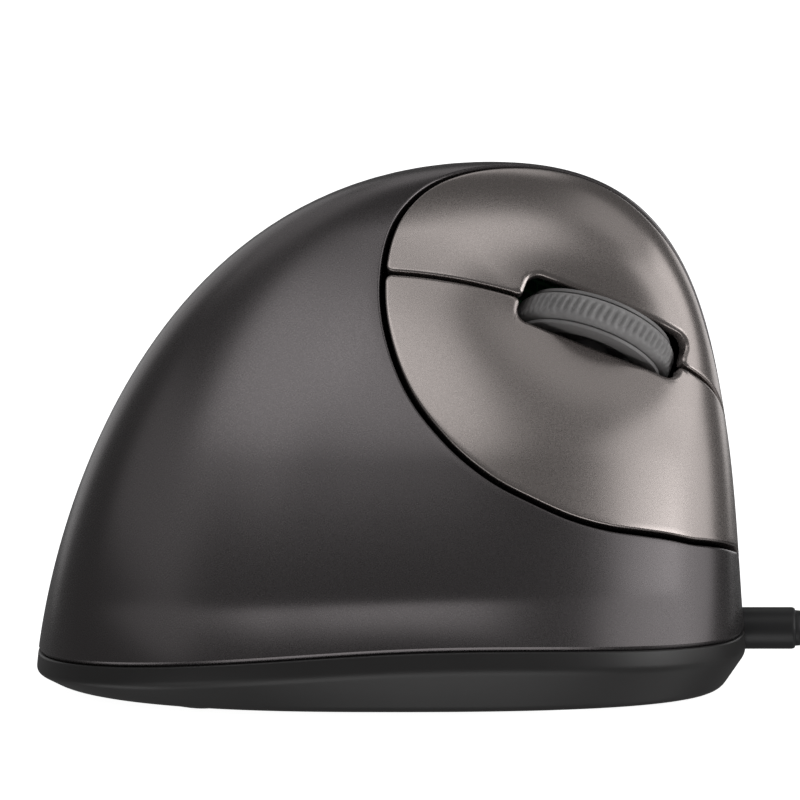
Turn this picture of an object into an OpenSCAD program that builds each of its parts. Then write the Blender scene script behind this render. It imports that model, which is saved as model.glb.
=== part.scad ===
// Corded vertical mouse for the right hand, in millimetres.
// +X points to the front, where the cable leaves, -Y is the finger side with the two
// buttons and the wheel, +Y is the thumb side, and the glide feet stand on z = 0.

/* [Body] */
// Length of the body over the shell's lower edge
body_length = 106; // [102:0.5:112]
// Width of the body over the shell's lower edge
body_width = 72; // [70:0.5:76]
// Height of the crown above the desk
body_height = 78; // [76:0.5:82]
// How far the crown lies in front of the middle
crown_x = 15; // [13:0.5:17]
// How far the crown leans towards the thumb side
crown_y = 8; // [7:0.25:9]
// Wall thickness of the shell
wall = 2.2; // [1.8:0.1:2.6]
// Height of the shell's lower edge at the rear
edge_rear = 5.3; // [5:0.1:6.5]
// Height of the shell's lower edge at the front
edge_front = 8.6; // [8.2:0.1:9]
// How much the shell's lower edge rises along the two sides
edge_lift = 3.1; // [1.5:0.1:4]
// How far the sides stand out at the crease above their lower edge
skirt = 2; // [1:0.1:2.4]
// How much further the finger side bellies out above the crease
belly = 2; // [1:0.1:2.4]

/* [Base] */
// Height of the lip under the shell's edge
lip_height = 3; // [2:0.1:3.4]
// How far the lip bulges past the shell
lip_bulge = 0.3; // [0:0.1:0.6]
// How far the underside is drawn in from the shell's edge
base_inset = 3.2; // [2:0.1:4]
// Thickness of the base floor
floor_thick = 2.2; // [1.8:0.1:2.6]
// Height of the glide feet
foot_height = 0.7; // [0.5:0.1:1]

/* [Buttons] */
// Wall thickness of the button caps
cap_wall = 2; // [1.6:0.1:2.4]
// Groove between the caps and the shell
groove = 0.8; // [0.7:0.05:1.1]
// Seam between the two caps
seam = 0.6; // [0.5:0.05:0.8]
// Length of the wheel slot
slot_length = 26; // [25.6:0.2:28]
// Width of the wheel slot
slot_width = 7.8; // [7.6:0.1:8.2]
// Corner radius of the wheel slot
slot_corner = 2; // [1:0.1:2.6]
// Depth of the dish round the wheel slot
dish_depth = 2; // [1:0.1:2.4]

/* [Wheel] */
// Outside diameter of the wheel
wheel_d = 24.8; // [22:0.2:25]
// Width of the wheel
wheel_width = 5.9; // [5:0.1:6]
// Width of the tyre between the hub's two rims
tyre_width = 4.4; // [3.6:0.1:4.6]
// Diameter of the hub's rims beside the tyre
rim_d = 22.6; // [21:0.2:22.8]
// Diameter of the hub that carries the tyre
hub_d = 19.2; // [17:0.2:20]
// Number of ribs round the tyre
rib_count = 62; // [48:1:80]
// Height of the ribs
rib_height = 0.45; // [0.3:0.05:0.6]
// How far the wheel stands out of the undished face
wheel_proud = 3; // [2:0.1:3.2]
// Diameter of the wheel's axle
axle_d = 2.5; // [2:0.1:2.8]

/* [Thumb buttons] */
// Length of each thumb button
thumb_length = 18.4; // [15:0.2:19]
// Width of each thumb button
thumb_width = 7.6; // [6.6:0.1:8]
// How far a thumb button stands out of the shell
thumb_proud = 1.2; // [0.8:0.1:1.6]
// Land of shell between the two thumb buttons
thumb_land = 2.4; // [2:0.1:3.4]

/* [Boards] */
// Thickness of the circuit boards
board_thick = 1.6; // [1.2:0.1:1.8]
// Height of the wheel's axle above the button board
axle_height = 6; // [5.8:0.1:6.4]
// Height of the main board's underside above the base floor
board_lift = 1.7; // [1.5:0.1:2]

/* [Cable] */
// Diameter of the cable
cable_d = 4; // [3.4:0.1:4.1]
// Height of the cable's axis where it leaves the body
cable_z = 8.4; // [8.2:0.1:8.6]
// Diameter of the strain relief's collar
relief_d = 6.3; // [5.8:0.1:6.8]
// Turns of cable in the coil
coil_turns = 10; // [6:2:10]
// Step from one turn of the coil to the next
coil_step = 4.6; // [4.55:0.05:5]
// Radius of the coil's innermost turn
coil_inner = 11; // [9:0.5:13]

/* [Clearances] */
// Gap between the shell and the base
part_gap = 0.2; // [0.1:0.05:0.3]
// Gap round a sliding or rocking piece
slide_gap = 0.3; // [0.25:0.05:0.4]
// Radial play of a pin or axle that turns
run_fit = 0.05; // [0.03:0.01:0.08]
// Play between a plunger and what presses it
touch_gap = 0.05; // [0.03:0.01:0.08]

/* [Hidden] */
$fn = 48;
eps = 0.01;

// Shape of the body: shares of each reach, from the crown down to the shell's lower edge
rear_shape = [0, 0.344, 0.672, 0.877, 0.972, 1];
front_shape = [0, 0.6105, 0.897, 0.948, 0.974, 1];
finger_shape = [0, 0.178, 0.333, 0.578, 0.756, 1];
thumb_shape = [0, 0.276, 0.655, 0.345, 0.483, 1];
height_shape = [1, 1, 0.872, 0.59, 0.256, 0];
// Squareness of the horizontal sections, and how much more the front has than the rear
section_power = 2.5;
front_power = 0.3;
// Share of the way down over which the round crown takes on that squareness
crown_blend = 0.45;
// Where the lower edge rises most, in degrees from the front, and over what spread
lift_at = 85;
lift_spread = 45;
// Shares of the way down at which the sides have their crease and the finger side bellies most
crease_at = 0.89;
crease_soft = 0.06;
belly_at = 0.68;
loft = [for (i = [0:5]) [
    rear_shape[i] * (body_length / 2 + crown_x), front_shape[i] * (body_length / 2 - crown_x),
    finger_shape[i] * (body_width / 2 + crown_y), thumb_shape[i] * (body_width / 2 - crown_y),
    height_shape[i] * body_height]];

// The skin is drawn over a disc: its middle is the crown, its rim the lower edge, and
// p points to the front and q to the thumb side
egg_middle = [0.36, -0.34];
// Reach of the egg-shaped button opening from its middle, every 15 degrees from the front
egg_reach = [
    0.392, 0.462, 0.552, 0.460, 0.312, 0.284, 0.282, 0.292, 0.353, 0.431, 0.47, 0.48,
    0.48, 0.477, 0.462, 0.43, 0.394, 0.358, 0.333, 0.314, 0.302, 0.303, 0.319, 0.346];
// Where the seam meets the opening at the rear and at the front, in degrees
seam_rear = 183;
seam_front = 46.5;
// Points that bend the two stretches of the seam
rear_bend = [0, -0.408];
front_bend = [0.56, -0.235];
// Middle of the wheel slot on the disc, and the way that it runs
slot_middle = [0.275, -0.386];
slot_way = [0.29, 0.075];
// Spread of the dish along and across the slot
dish_long = 17;
dish_wide = 8.5;
// Middle of the pair of thumb buttons on the disc
thumb_middle = [0.09, 0.58];

// Steps of the meshes: round the shell, from the opening to the edge, and over a cap
shell_round = 80;
shell_down = 13;
cap_rows = 10;
nudge = 0.001;

function unit(v) = v / norm(v);
function mix(a, b, f) = a * (1 - f) + b * f;
function ease(f) = let (x = min(1, max(0, f))) x * x * (3 - 2 * x);
function bezier(c, t) = len(c) == 1 ? c[0]
    : bezier([for (i = [0:len(c) - 2]) mix(c[i], c[i + 1], t)], t);
function flat(lists) = [for (list = lists) each list];

// Height of the shell's lower edge, a degrees round from the front
function edge_z(a) = let (side = abs((a + 540) % 360 - 180))
    mix(edge_rear, edge_front, (1 + cos(a)) / 2)
    + edge_lift * exp(-pow((side - lift_at) / lift_spread, 2));

// How far the sides stand out: flared up to the crease, and on the finger side bellied above it
function swell(t, a) = let (
    flare = skirt * (1 - pow(1 - min(1, (1 - t) / (1 - crease_at)), 2)),
    rise = (crease_at - t) / (crease_at - belly_at),
    soft = min(1, (rise + sqrt(rise * rise + crease_soft * crease_soft)) / 2),
    top = 0.5 - 0.2 * ease((-a - 56) / 40),
    upper = t < belly_at ? ease((t - top) / (belly_at - top)) : 1)
    (a < 0 ? -(flare + belly * (1 - pow(1 - soft, 2.5))) * upper
        : flare * (1 - ease((crease_at - t) / 0.3))) * pow(abs(sin(a)), 2.5 + 1.5 * cos(a));

// A point of the undished skin
function body_skin(d) = let (
    t = norm(d), a = t > 0 ? atan2(d[1], d[0]) : 0, r = bezier(loft, t),
    power = 2 + (section_power - 2 + front_power * cos(a)) * ease(t / crown_blend),
    k = pow(pow(abs(cos(a)), power) + pow(abs(sin(a)), power), -1 / power))
    [crown_x + (r[1] - r[0]) / 2 + (r[1] + r[0]) / 2 * k * cos(a),
     crown_y + (r[3] - r[2]) / 2 + (r[3] + r[2]) / 2 * k * sin(a) + swell(t, a),
     r[4] + pow(t, 5) * edge_z(a)];

// Frame of the finger face: x along the slot to the front, y up across it, z outwards
face_o = body_skin(slot_middle);
face_p = body_skin(slot_middle + [nudge, 0]) - face_o;
face_q = body_skin(slot_middle + [0, nudge]) - face_o;
face_z = unit(cross(face_p, face_q));
face_way = face_p * slot_way[0] + face_q * slot_way[1];
face_x = unit(face_way - (face_way * face_z) * face_z);
face_y = cross(face_z, face_x);

// A point of the skin, dished round the wheel slot
function skin(d) = let (s = body_skin(d), v = s - face_o)
    s - face_z * dish_depth
        * exp(-pow(v * face_x / dish_long, 2) - pow(v * face_y / dish_wide, 2));
// The skin's point and its two slopes at d
function slopes(d) = let (s = skin(d))
    [s, (skin(d + [nudge, 0]) - s) / nudge, (skin(d + [0, nudge]) - s) / nudge];
function level(v) = unit([v[0], v[1], 0]);
// A point depth under the skin. Towards the lower edge the depth is taken level.
function under(d, depth) = let (
    j = slopes(d), n = unit(cross(j[1], j[2])), f = ease((norm(d) - 0.8) / 0.2))
    j[0] - depth * unit(mix(n, level(n), f));
// The place on the disc that lies dist to the left of d, for someone who walks along way
function beside(d, way, dist) = let (
    j = slopes(d), t = j[1] * way[0] + j[2] * way[1],
    b = unit(cross(cross(j[1], j[2]), t)) * dist,
    pp = j[1] * j[1], pq = j[1] * j[2], qq = j[2] * j[2], det = pp * qq - pq * pq)
    d + [qq * (j[1] * b) - pq * (j[2] * b), pp * (j[2] * b) - pq * (j[1] * b)] / det;
// The place on the disc whose skin lies at x, y in the frame o, ex, ey, sought from d
function seek(o, ex, ey, x, y, d, tries = 6) = tries == 0 ? d : let (
    j = slopes(d), v = j[0] - o, ax = j[1] * ex, bx = j[2] * ex, ay = j[1] * ey,
    by = j[2] * ey, gx = x - v * ex, gy = y - v * ey, det = ax * by - bx * ay)
    seek(o, ex, ey, x, y, d + [by * gx - bx * gy, ax * gy - ay * gx] / det, tries - 1);
function on_face(x, y) = seek(face_o, face_x, face_y, x, y, slot_middle);
// Height of the skin over the face frame at x, y
function face_rise(x, y) = (skin(on_face(x, y)) - face_o) * face_z;

// The opening's edge, a degrees round its middle, by a smooth curve through the reaches
function egg(a) = let (
    n = len(egg_reach), x = (a % 360 + 360) % 360 / 360 * n, i = floor(x), f = x - i,
    w = [for (k = [n - 1:n + 2]) egg_reach[(i + k) % n]],
    r = w[1] + f / 2 * (w[2] - w[0] + f * (2 * w[0] - 5 * w[1] + 4 * w[2] - w[3]
        + f * (3 * (w[1] - w[2]) + w[3] - w[0]))))
    egg_middle + r * [cos(a), sin(a)];
// The rim of the disc, seen from the opening's middle at a degrees
function rim(a) = let (w = [cos(a), sin(a)], c = egg_middle * w)
    egg_middle + w * (sqrt(c * c + 1 - egg_middle * egg_middle) - c);

// Triangles of a sheet of rows by cols points, for a skin that faces away from the inside
function sheet(rows, cols, wrap, start = 0) = [
    for (r = [0:rows - 2], c = [0:cols - (wrap ? 1 : 2)]) let (
        a = start + r * cols + c, b = start + r * cols + (c + 1) % cols)
        each [[a, b, b + cols], [a, b + cols, a + cols]]];
function turned(faces) = [for (f = faces) [f[0], f[2], f[1]]];
// Triangles between two lines of point numbers
function strip(a, b) = [for (i = [0:len(a) - 2])
    each [[a[i], a[i + 1], b[i + 1]], [a[i], b[i + 1], b[i]]]];

// A plate between two like sheets of points
module plate_between(outer, inner, wrap = false) {
    rows = len(outer);
    cols = len(outer[0]);
    n = rows * cols;
    round_c = [for (c = [0:cols - (wrap ? 0 : 1)]) c % cols];
    first = [for (c = round_c) c];
    last = [for (c = round_c) (rows - 1) * cols + c];
    left = [for (r = [0:rows - 1]) r * cols];
    right = [for (r = [0:rows - 1]) r * cols + cols - 1];
    function low(line) = [for (i = line) i + n];
    function back(line) = [for (i = [len(line) - 1:-1:0]) line[i]];
    ends = wrap ? [] : concat(strip(left, low(left)), strip(back(right), low(back(right))));
    polyhedron(
        points = concat(flat(outer), flat(inner)),
        faces = concat(
            sheet(rows, cols, wrap), turned(sheet(rows, cols, wrap, n)),
            strip(back(first), low(back(first))), strip(last, low(last)), ends));
}

// A solid skinned over a stack of closed loops, flat at both ends
module loft_loops(loops) {
    n = len(loops[0]);
    polyhedron(
        points = flat(loops),
        faces = concat(
            [[for (i = [n - 1:-1:0]) i]], sheet(len(loops), n, true),
            [[for (i = [0:n - 1]) (len(loops) - 1) * n + i]]));
}

// A tube of given sides swept along a line of points
function along(line, i) = unit(line[min(i + 1, len(line) - 1)] - line[max(i - 1, 0)]);
function tube_loop(line, i, r, sides) = let (
    t = along(line, i), e = unit(cross([0, 0, 1], t)), f = cross(t, e))
    [for (k = [0:sides - 1]) let (a = (k + 0.5) * 360 / sides)
        line[i] + r * (cos(a) * e + sin(a) * f)];
module tube(line, r, sides) {
    loft_loops([for (i = [len(line) - 1:-1:0]) tube_loop(line, i, r, sides)]);
}

module in_frame(o, x, y, z) {
    multmatrix([
        [x[0], y[0], z[0], o[0]], [x[1], y[1], z[1], o[1]], [x[2], y[2], z[2], o[2]],
        [0, 0, 0, 1]])
        children();
}
module on_finger_face() { in_frame(face_o, face_x, face_y, face_z) children(); }
// A block between two corners
module block(a, b) { translate(a) cube(b - a); }
// A round bar along y from y0 to y1
module bar_y(r, y0, y1) { translate([0, y0, 0]) rotate([-90, 0, 0]) cylinder(r = r, h = y1 - y0); }
// A round bar along x from x0 to x1
module bar_x(r, x0, x1) { translate([x0, 0, 0]) rotate([0, 90, 0]) cylinder(r = r, h = x1 - x0); }

// Heights of what stacks up from the desk
base_z = foot_height;
floor_z = base_z + floor_thick;
board_z = floor_z + board_lift;
board_top = board_z + board_thick;

// The base: screws that hold the shell, with the tops of their bosses, and those of the frame
rear_screw_in = 9;
front_screw_in = [27, 11];
front_screw = [body_length / 2 - front_screw_in[0], body_width / 2 - front_screw_in[1]];
rear_boss_top = 36;
front_boss_top = 24;
shell_screws = [
    [rear_screw_in - body_length / 2, 0, rear_boss_top],
    [front_screw[0], front_screw[1], front_boss_top],
    [front_screw[0], -front_screw[1], front_boss_top]];
frame_screws = [[0.5, 12, 0], [22, 12, 0]];
screw_r = 1.2;
screw_head_r = 2.4;
screw_head = 1.2;
screw_length = 9;
boss_r = 2.8;
// Glide feet: their width, lengths, and how far in from the body's reach they lie
foot_width = 6;
front_foot = 30;
rear_foot = 22;
front_foot_in = 11;
rear_foot_in = [19, 20];
rear_foot_turn = 40;
// Window for the tracking sensor
sensor_x = -18;
window = [9, 13];

// The wheel and what lies under the caps, in the finger face's frame
wheel_z = wheel_proud - wheel_d / 2;
axle_r = axle_d / 2;
face_board = wheel_z - axle_height;
face_under = face_board - board_thick;
frame_top = face_under - 1.2;
frame_thick = 1.8;
wheel_side = wheel_width / 2;
wheel_gap = 0.9;
board_gap = 0.7;
// Rotary encoder on the lower side of the wheel
encoder_wide = 5.5;
encoder_long = 11;
encoder_tall = 10;
encoder_y = -wheel_side - 1.3 - encoder_wide;
encoder_mid = encoder_y + encoder_wide / 2;
rotor_r = 3;
rotor_play = 0.1;
// Shoe that carries the axle's other end over the middle switch
shoe_y = wheel_side + 1.2;
shoe_wide = 2.6;
shoe_half = 2.4;
shoe_up = 2.9;
shoe_down = 2.85;
guide_thick = 1.6;
// Microswitches under the caps
switch_size = [12.8, 5.8, 6.5];
plunger_up = 0.7;
plunger_r = 1.1;
plunger_x = 2.6;
upper_y = 11.1;
lower_y = -14.6;
press_r = 1.6;
// Tact switch under the wheel's shoe
tact_size = [6, 3.5, 2.5];
// Pin on which the caps rock, at the rear of the seam
pin_x = -27;
pin_r = 1;
lug_r = 2.6;
lug_wide = 5;
pin_post = [-6, 1];
pin_z = face_rise(pin_x, mix(pin_post[0], pin_post[1], 0.5)) - cap_wall - 4.2;
// Outline of the button board
button_board_x = [-18, 7];
button_board_y = [-18.5, 14.5];

// The thumb side's frame: x to the front along the shell, y downwards, z outwards
thumb_o = skin(thumb_middle);
thumb_j = slopes(thumb_middle);
thumb_z = unit(cross(thumb_j[1], thumb_j[2]));
thumb_x = unit([1, 0, 0] - thumb_z[0] * thumb_z);
thumb_y = cross(thumb_z, thumb_x);
module on_thumb_side() { in_frame(thumb_o, thumb_x, thumb_y, thumb_z) children(); }
function on_thumb(x, y) = seek(thumb_o, thumb_x, thumb_y, x, y, thumb_middle);
thumb_reach = (thumb_land + thumb_length) / 2;
thumb_flange = 1;
thumb_flange_thick = 0.8;
thumb_switch = [6, 6, 3.2];
thumb_plunger_up = 0.5;
thumb_plunger_r = 1.2;
thumb_board_top = -9.6;
thumb_board_half = [17, 5];
thumb_backing = 1.8;

// Cable: the strain relief's stations along x
relief_in = body_length / 2 - wall - 1.8;
relief_wall = body_length / 2 + lip_bulge + 0.1;
relief_flange = 1.4;
relief_collar = 7.4;
relief_tail = 14;
relief_tail_r = 2.65;
relief_tip_r = 2.35;
relief_end = relief_wall + relief_collar + relief_tail;
relief_bore = cable_d / 2 + 0.02;

// Cable routes outside the body
coil_z = 2.5;
coil_climb = 4.5;
coil_x = 107.5;
coil_outer = coil_inner + coil_step * coil_turns / 2;
coil_rings = 24;
lead_route = [
    [relief_end, 0, cable_z], [79.5, 0, 8.2], [85, 0, 7.1], [90, 0, 5.5], [95, 0, 3.9],
    [99.5, 0, 2.8], [coil_x - cable_d, 0, coil_z]];
tail_route = [
    [coil_x + cable_d, 0, coil_z + coil_climb], [120, -0.6, 6.8], [124, -2.4, 6],
    [129, -6, 4.6], [132.5, -11, 3.2], [134, -17, 2.3], [132, -23, 2.2],
    [127.5, -27.5, 2.6], [122, -29, 3.7], [117, -29, 4.2]];
function coil_point(n) = let (
    r = coil_inner + coil_step * abs(n - coil_turns / 2), a = 360 * n - 90,
    up = ease((n - coil_turns / 2) * 2 + 0.5))
    [coil_x + r * cos(a), coil_outer + r * sin(a), coil_z + coil_climb * up];
coil_route = concat(
    [lead_route[len(lead_route) - 1]],
    [for (i = [0:coil_turns * coil_rings]) coil_point(i / coil_rings)],
    [tail_route[0]]);
tie_wide = 6;
tie_thick = 0.45;
tie_play = 0.35;

// Plug at the cable's far end
plug = tail_route[len(tail_route) - 1];
grip_size = [34, 15.6, 8.4];
usb_size = [18.5, 12, 4.5];
usb_wall = 0.35;

// Colours
charcoal = "#343333";
taupe = "#6b635d";
rubber = "#55585a";
jet = "#1b1b1c";
steel = "#b9bcc0";
board_green = "#1f5a3c";
housing = "#26282b";
ivory = "#e8e2d2";

// Shell: the skin between the button opening and the lower edge
function shell_place(row, col) = let (a = 360 * col / shell_round,
    f = 1 - pow(1 - row / shell_down, 1.4))
    mix(egg(a), rim(a), f);
module shell_skin() {
    places = [for (r = [0:shell_down]) [for (c = [0:shell_round - 1]) shell_place(r, c)]];
    plate_between(
        [for (row = places) [for (d = row) skin(d)]],
        [for (row = places) [for (d = row) under(d, wall)]], true);
}
// Room inside the shell's mid wall, which trims what grows on the wall
module shell_core() {
    rings = 10;
    round = 40;
    loft_loops([for (r = [1:rings]) [for (c = [0:round - 1]) let (a = 360 * c / round)
        under(r / rings * [cos(a), sin(a)], wall / 2)]]);
}
module thumb_outline(grow) {
    half = thumb_length / 2 - thumb_width / 2;
    hull() for (s = [-1, 1]) translate([s * half, 0]) circle(r = thumb_width / 2 + grow, $fn = 32);
}
module main_shell() {
    color(charcoal) difference() {
        union() {
            shell_skin();
            intersection() {
                shell_core();
                for (p = shell_screws)
                    translate([p[0], p[1], floor_z + part_gap])
                        cylinder(r = boss_r, h = p[2] - floor_z);
            }
        }
        for (p = shell_screws)
            translate([p[0], p[1], 0]) cylinder(r = screw_r, h = base_z + screw_head + screw_length + 1);
        for (s = [-1, 1])
            on_thumb_side() translate([s * thumb_reach, 0, -8])
                linear_extrude(16) thumb_outline(slide_gap);
        translate([0, 0, cable_z]) bar_x(relief_d / 2 + part_gap, relief_in, relief_end);
    }
}

// Base: a tray whose lip follows the shell's lower edge
function base_loop(inset, drop, z) = [for (c = [0:shell_round - 1]) let (
    d = rim(360 * c / shell_round), j = slopes(d), n = level(cross(j[1], j[2])), s = j[0])
    [s[0] - inset * n[0], s[1] - inset * n[1], is_undef(z) ? s[2] - drop : z]];
module base_plate() {
    color(charcoal) difference() {
        union() {
            loft_loops([
                base_loop(base_inset + wall, 0, floor_z), base_loop(wall, part_gap),
                base_loop(0, part_gap), base_loop(-lip_bulge, lip_height),
                base_loop(base_inset, 0, base_z)]);
            for (x = [-1, 1], y = [-1, 1])
                translate([sensor_x + x * 12, y * 12, floor_z - eps])
                    cylinder(r = 2, h = board_lift + eps);
        }
        for (p = concat(shell_screws, frame_screws)) translate([p[0], p[1], base_z - eps]) {
            cylinder(r = screw_r + part_gap, h = floor_thick + 1);
            cylinder(r = screw_head_r + part_gap, h = screw_head + eps);
        }
        translate([sensor_x, 0, 0])
            block([-window[0] / 2, -window[1] / 2, 0], [window[0] / 2, window[1] / 2, floor_z + 1]);
        translate([0, 0, cable_z]) {
            bar_x(relief_d / 2 + part_gap, relief_in - 4, relief_end);
            bar_x(relief_d / 2 + relief_flange + part_gap, relief_in - 4,
                relief_in + relief_flange + part_gap);
        }
    }
}
module pad(x, y, length, turn) {
    translate([x, y, 0]) rotate(turn) linear_extrude(foot_height) hull()
        for (s = [-1, 1]) translate([s * (length - foot_width) / 2, 0]) circle(d = foot_width);
}
module glide_feet() {
    color(jet) {
        pad(body_length / 2 - front_foot_in, 0, front_foot, 90);
        for (s = [-1, 1])
            pad(rear_foot_in[0] - body_length / 2, s * (body_width / 2 - rear_foot_in[1]), rear_foot,
                s * rear_foot_turn);
    }
}
module base_screws() {
    color(steel) for (p = concat(shell_screws, frame_screws)) translate([p[0], p[1], base_z]) {
        cylinder(r = screw_head_r, h = screw_head);
        cylinder(r = screw_r, h = screw_head + screw_length);
    }
}

// Caps: a sheet from the opening's edge to the seam, notched by the wheel slot
slot_half = slot_length / 2;
slot_side = slot_width / 2;
cap_corner = 1.2;
rear_line = [egg(seam_rear), rear_bend, on_face(-slot_half, -0.3)];
front_line = [on_face(slot_half, -0.8), front_bend, egg(seam_front)];
// The seam's line with s from 0 to 1, moved half a seam to one side of it
function seam_place(line, s, side) =
    beside(bezier(line, s), bezier(line, s + 0.01) - bezier(line, s - 0.01), side * seam / 2);
function spaced(n, a, b) = [for (i = [0:n - 1]) mix(a, b, i / (n - 1))];
// Half of the slot's outline, from the rear end of the seam to its front end
function slot_places(side) = let (
    r = slot_corner, x = slot_half, y = slot_side, lift = side > 0 ? 0.6 : 1.6)
    [for (v = concat(
        [[-x, lift], [-x, y - r]],
        [for (a = [150, 120]) [r - x + r * cos(a), y - r + r * sin(a)]],
        [for (u = spaced(8, r - x, x - r)) [u, y]],
        [for (a = [60, 30]) [x - r + r * cos(a), y - r + r * sin(a)]],
        [[x, y - r], [x, lift]])) on_face(v[0], side * v[1])];
function cap_chain(side) = let (
    rear = (groove + cap_corner) / norm(skin(rear_line[0]) - skin(rear_line[2])),
    front = (groove + cap_corner) / norm(skin(front_line[2]) - skin(front_line[0])))
    concat(
        [for (s = spaced(8, rear, 0.985)) seam_place(rear_line, s, side)],
        slot_places(side),
        [for (s = spaced(6, 0.05, 1 - front)) seam_place(front_line, s, side)]);
// Shares of the way along a chain, partly by length and partly by reach to the front
function running(v, i = 0, sum = 0) =
    i == len(v) ? [] : concat([sum + v[i]], running(v, i + 1, sum + v[i]));
function chain_shares(chain) = let (
    pts = [for (d = chain) skin(d)], n = len(pts) - 1,
    length = concat([0], running([for (i = [1:n]) norm(pts[i] - pts[i - 1])])),
    go = [for (p = pts) (p - pts[0]) * face_x])
    [for (i = [0:n]) 0.35 * length[i] / length[n] + 0.65 * go[i] / go[n]];
// Places along the opening's edge, a groove inside it, at the shares of its length
function edge_places(from, to, shares) = let (
    way = to > from ? 1 : -1, steps = 60,
    angles = [for (i = [0:steps]) mix(from, to, i / steps)],
    pts = [for (a = angles) skin(egg(a))],
    length = concat([0], running([for (i = [1:steps]) norm(pts[i] - pts[i - 1])])),
    table = [for (i = [0:steps]) [length[i] / length[steps], angles[i]]])
    [for (s = shares) let (a = lookup(s, table)) beside(egg(a), egg(a + 1) - egg(a - 1), groove)];
function edge_step(a) = norm(skin(egg(a + 1)) - skin(egg(a - 1))) / 2;
module cap_skin(side) {
    chain = cap_chain(side);
    back_turn = (seam / 2 + cap_corner) / edge_step(seam_rear);
    front_turn = (seam / 2 + cap_corner) / edge_step(seam_front);
    arc = side > 0
        ? edge_places(seam_rear - back_turn, seam_front + front_turn, chain_shares(chain))
        : edge_places(seam_rear + back_turn, seam_front + 360 - front_turn, chain_shares(chain));
    top = side > 0 ? arc : chain;
    bottom = side > 0 ? chain : arc;
    places = [for (r = [0:cap_rows]) [for (c = [0:len(chain) - 1])
        mix(top[c], bottom[c], r / cap_rows)]];
    plate_between(
        [for (row = places) [for (d = row) skin(d)]],
        [for (row = places) [for (d = row) under(d, cap_wall)]]);
}
// Post that presses a switch, and lug that rocks on the pin
switch_top = face_board + switch_size[2] + plunger_up;
module cap_fittings(post_y, lug_y) {
    on_finger_face() {
        post_top = face_rise(plunger_x, post_y) - cap_wall / 2;
        translate([plunger_x, post_y, switch_top + touch_gap])
            cylinder(r = press_r, h = post_top - switch_top - touch_gap);
        lug_top = face_rise(pin_x, lug_y + lug_wide / 2) - cap_wall / 2 - 0.2;
        difference() {
            translate([pin_x, 0, 0]) union() {
                translate([0, 0, pin_z]) bar_y(lug_r, lug_y, lug_y + lug_wide);
                block([-1.8, lug_y, pin_z], [1.8, lug_y + lug_wide, lug_top]);
            }
            translate([pin_x, 0, pin_z]) bar_y(pin_r + run_fit, lug_y - 1, lug_y + lug_wide + 1);
        }
    }
}
upper_lug = pin_post[1] + slide_gap;
lower_lug = pin_post[0] - slide_gap - lug_wide;
module upper_button() {
    color(taupe) {
        cap_skin(1);
        cap_fittings(upper_y, upper_lug);
    }
}
module lower_button() {
    color(taupe) {
        cap_skin(-1);
        cap_fittings(lower_y, lower_lug);
    }
}
module hinge_pin() {
    color(steel) on_finger_face() translate([pin_x, 0, pin_z])
        bar_y(pin_r, lower_lug - 0.5, upper_lug + lug_wide + 0.5);
}

// Inner frame: a slanted plate under the button board on a wall that stands on the base
frame_wall_x = [1, 19];
frame_wall_y = [4, 7.5];
frame_foot_x = [-3.5, 26];
frame_foot_y = [3, 16];
frame_foot = 1.6;
thumb_backing_x = [-14, 7];
thumb_board_under = thumb_board_top - board_thick;
module inner_frame() {
    color(housing) difference() {
        union() {
            on_finger_face() {
                block([-19, -18, frame_top - frame_thick], [4, 8, frame_top]);
                block([pin_x - lug_r, pin_post[0], frame_top - frame_thick], [-18, pin_post[1], frame_top]);
                block([pin_x - lug_r, pin_post[0], frame_top - eps], [pin_x + lug_r, pin_post[1], pin_z]);
                translate([pin_x, 0, pin_z]) bar_y(lug_r, pin_post[0], pin_post[1]);
                for (x = [-16, 1], y = [-16, 5.6])
                    translate([x, y, frame_top - eps]) cylinder(r = 1.6, h = face_under - frame_top + eps);
                for (s = [-1, 1]) translate([s * (shoe_half + slide_gap + guide_thick / 2), 0, 0])
                    block([-guide_thick / 2, shoe_y, frame_top - eps],
                        [guide_thick / 2, shoe_y + shoe_wide, wheel_z + shoe_up]);
            }
            difference() {
                union() {
                    block([frame_wall_x[0], frame_wall_y[0], floor_z],
                        [frame_wall_x[1], frame_wall_y[1], body_height]);
                    block([frame_foot_x[0], frame_foot_y[0], floor_z],
                        [frame_foot_x[1], frame_foot_y[1], floor_z + frame_foot]);
                    for (x = [2, 15]) block([x, frame_wall_y[1] - eps, floor_z],
                        [x + 2.4, frame_foot_y[1] - 1, floor_z + 12]);
                }
                on_finger_face() translate([0, 0, frame_top - frame_thick / 2 + body_height])
                    cube(2 * body_height, center = true);
                for (z = [16, 30]) translate([mix(frame_wall_x[0], frame_wall_x[1], 0.5), 0, z])
                    bar_y(4, frame_wall_y[0] - 1, frame_wall_y[1] + 1);
            }
            on_thumb_side() {
                block([thumb_backing_x[0], -thumb_board_half[1], thumb_board_under - thumb_backing],
                    [thumb_backing_x[1], thumb_board_half[1], thumb_board_under]);
                for (x = [-8, 3]) translate([x, 0, thumb_board_under])
                    block([0, -3, frame_wall_y[1] - thumb_o[1] - thumb_board_under - 1.5], [3, 3, -eps]);
            }
        }
        on_finger_face() {
            block([-sqrt(pow(wheel_d / 2, 2) - pow(wheel_z - frame_top, 2)) - wheel_gap,
                -wheel_side - wheel_gap, frame_top - 20], [10, wheel_side + wheel_gap, frame_top + 0.5]);
            translate([pin_x, 0, pin_z]) bar_y(pin_r, pin_post[0] - 1, pin_post[1] + 1);
        }
        for (p = frame_screws) translate([p[0], p[1], 0]) cylinder(r = screw_r, h = 20);
    }
}

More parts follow.
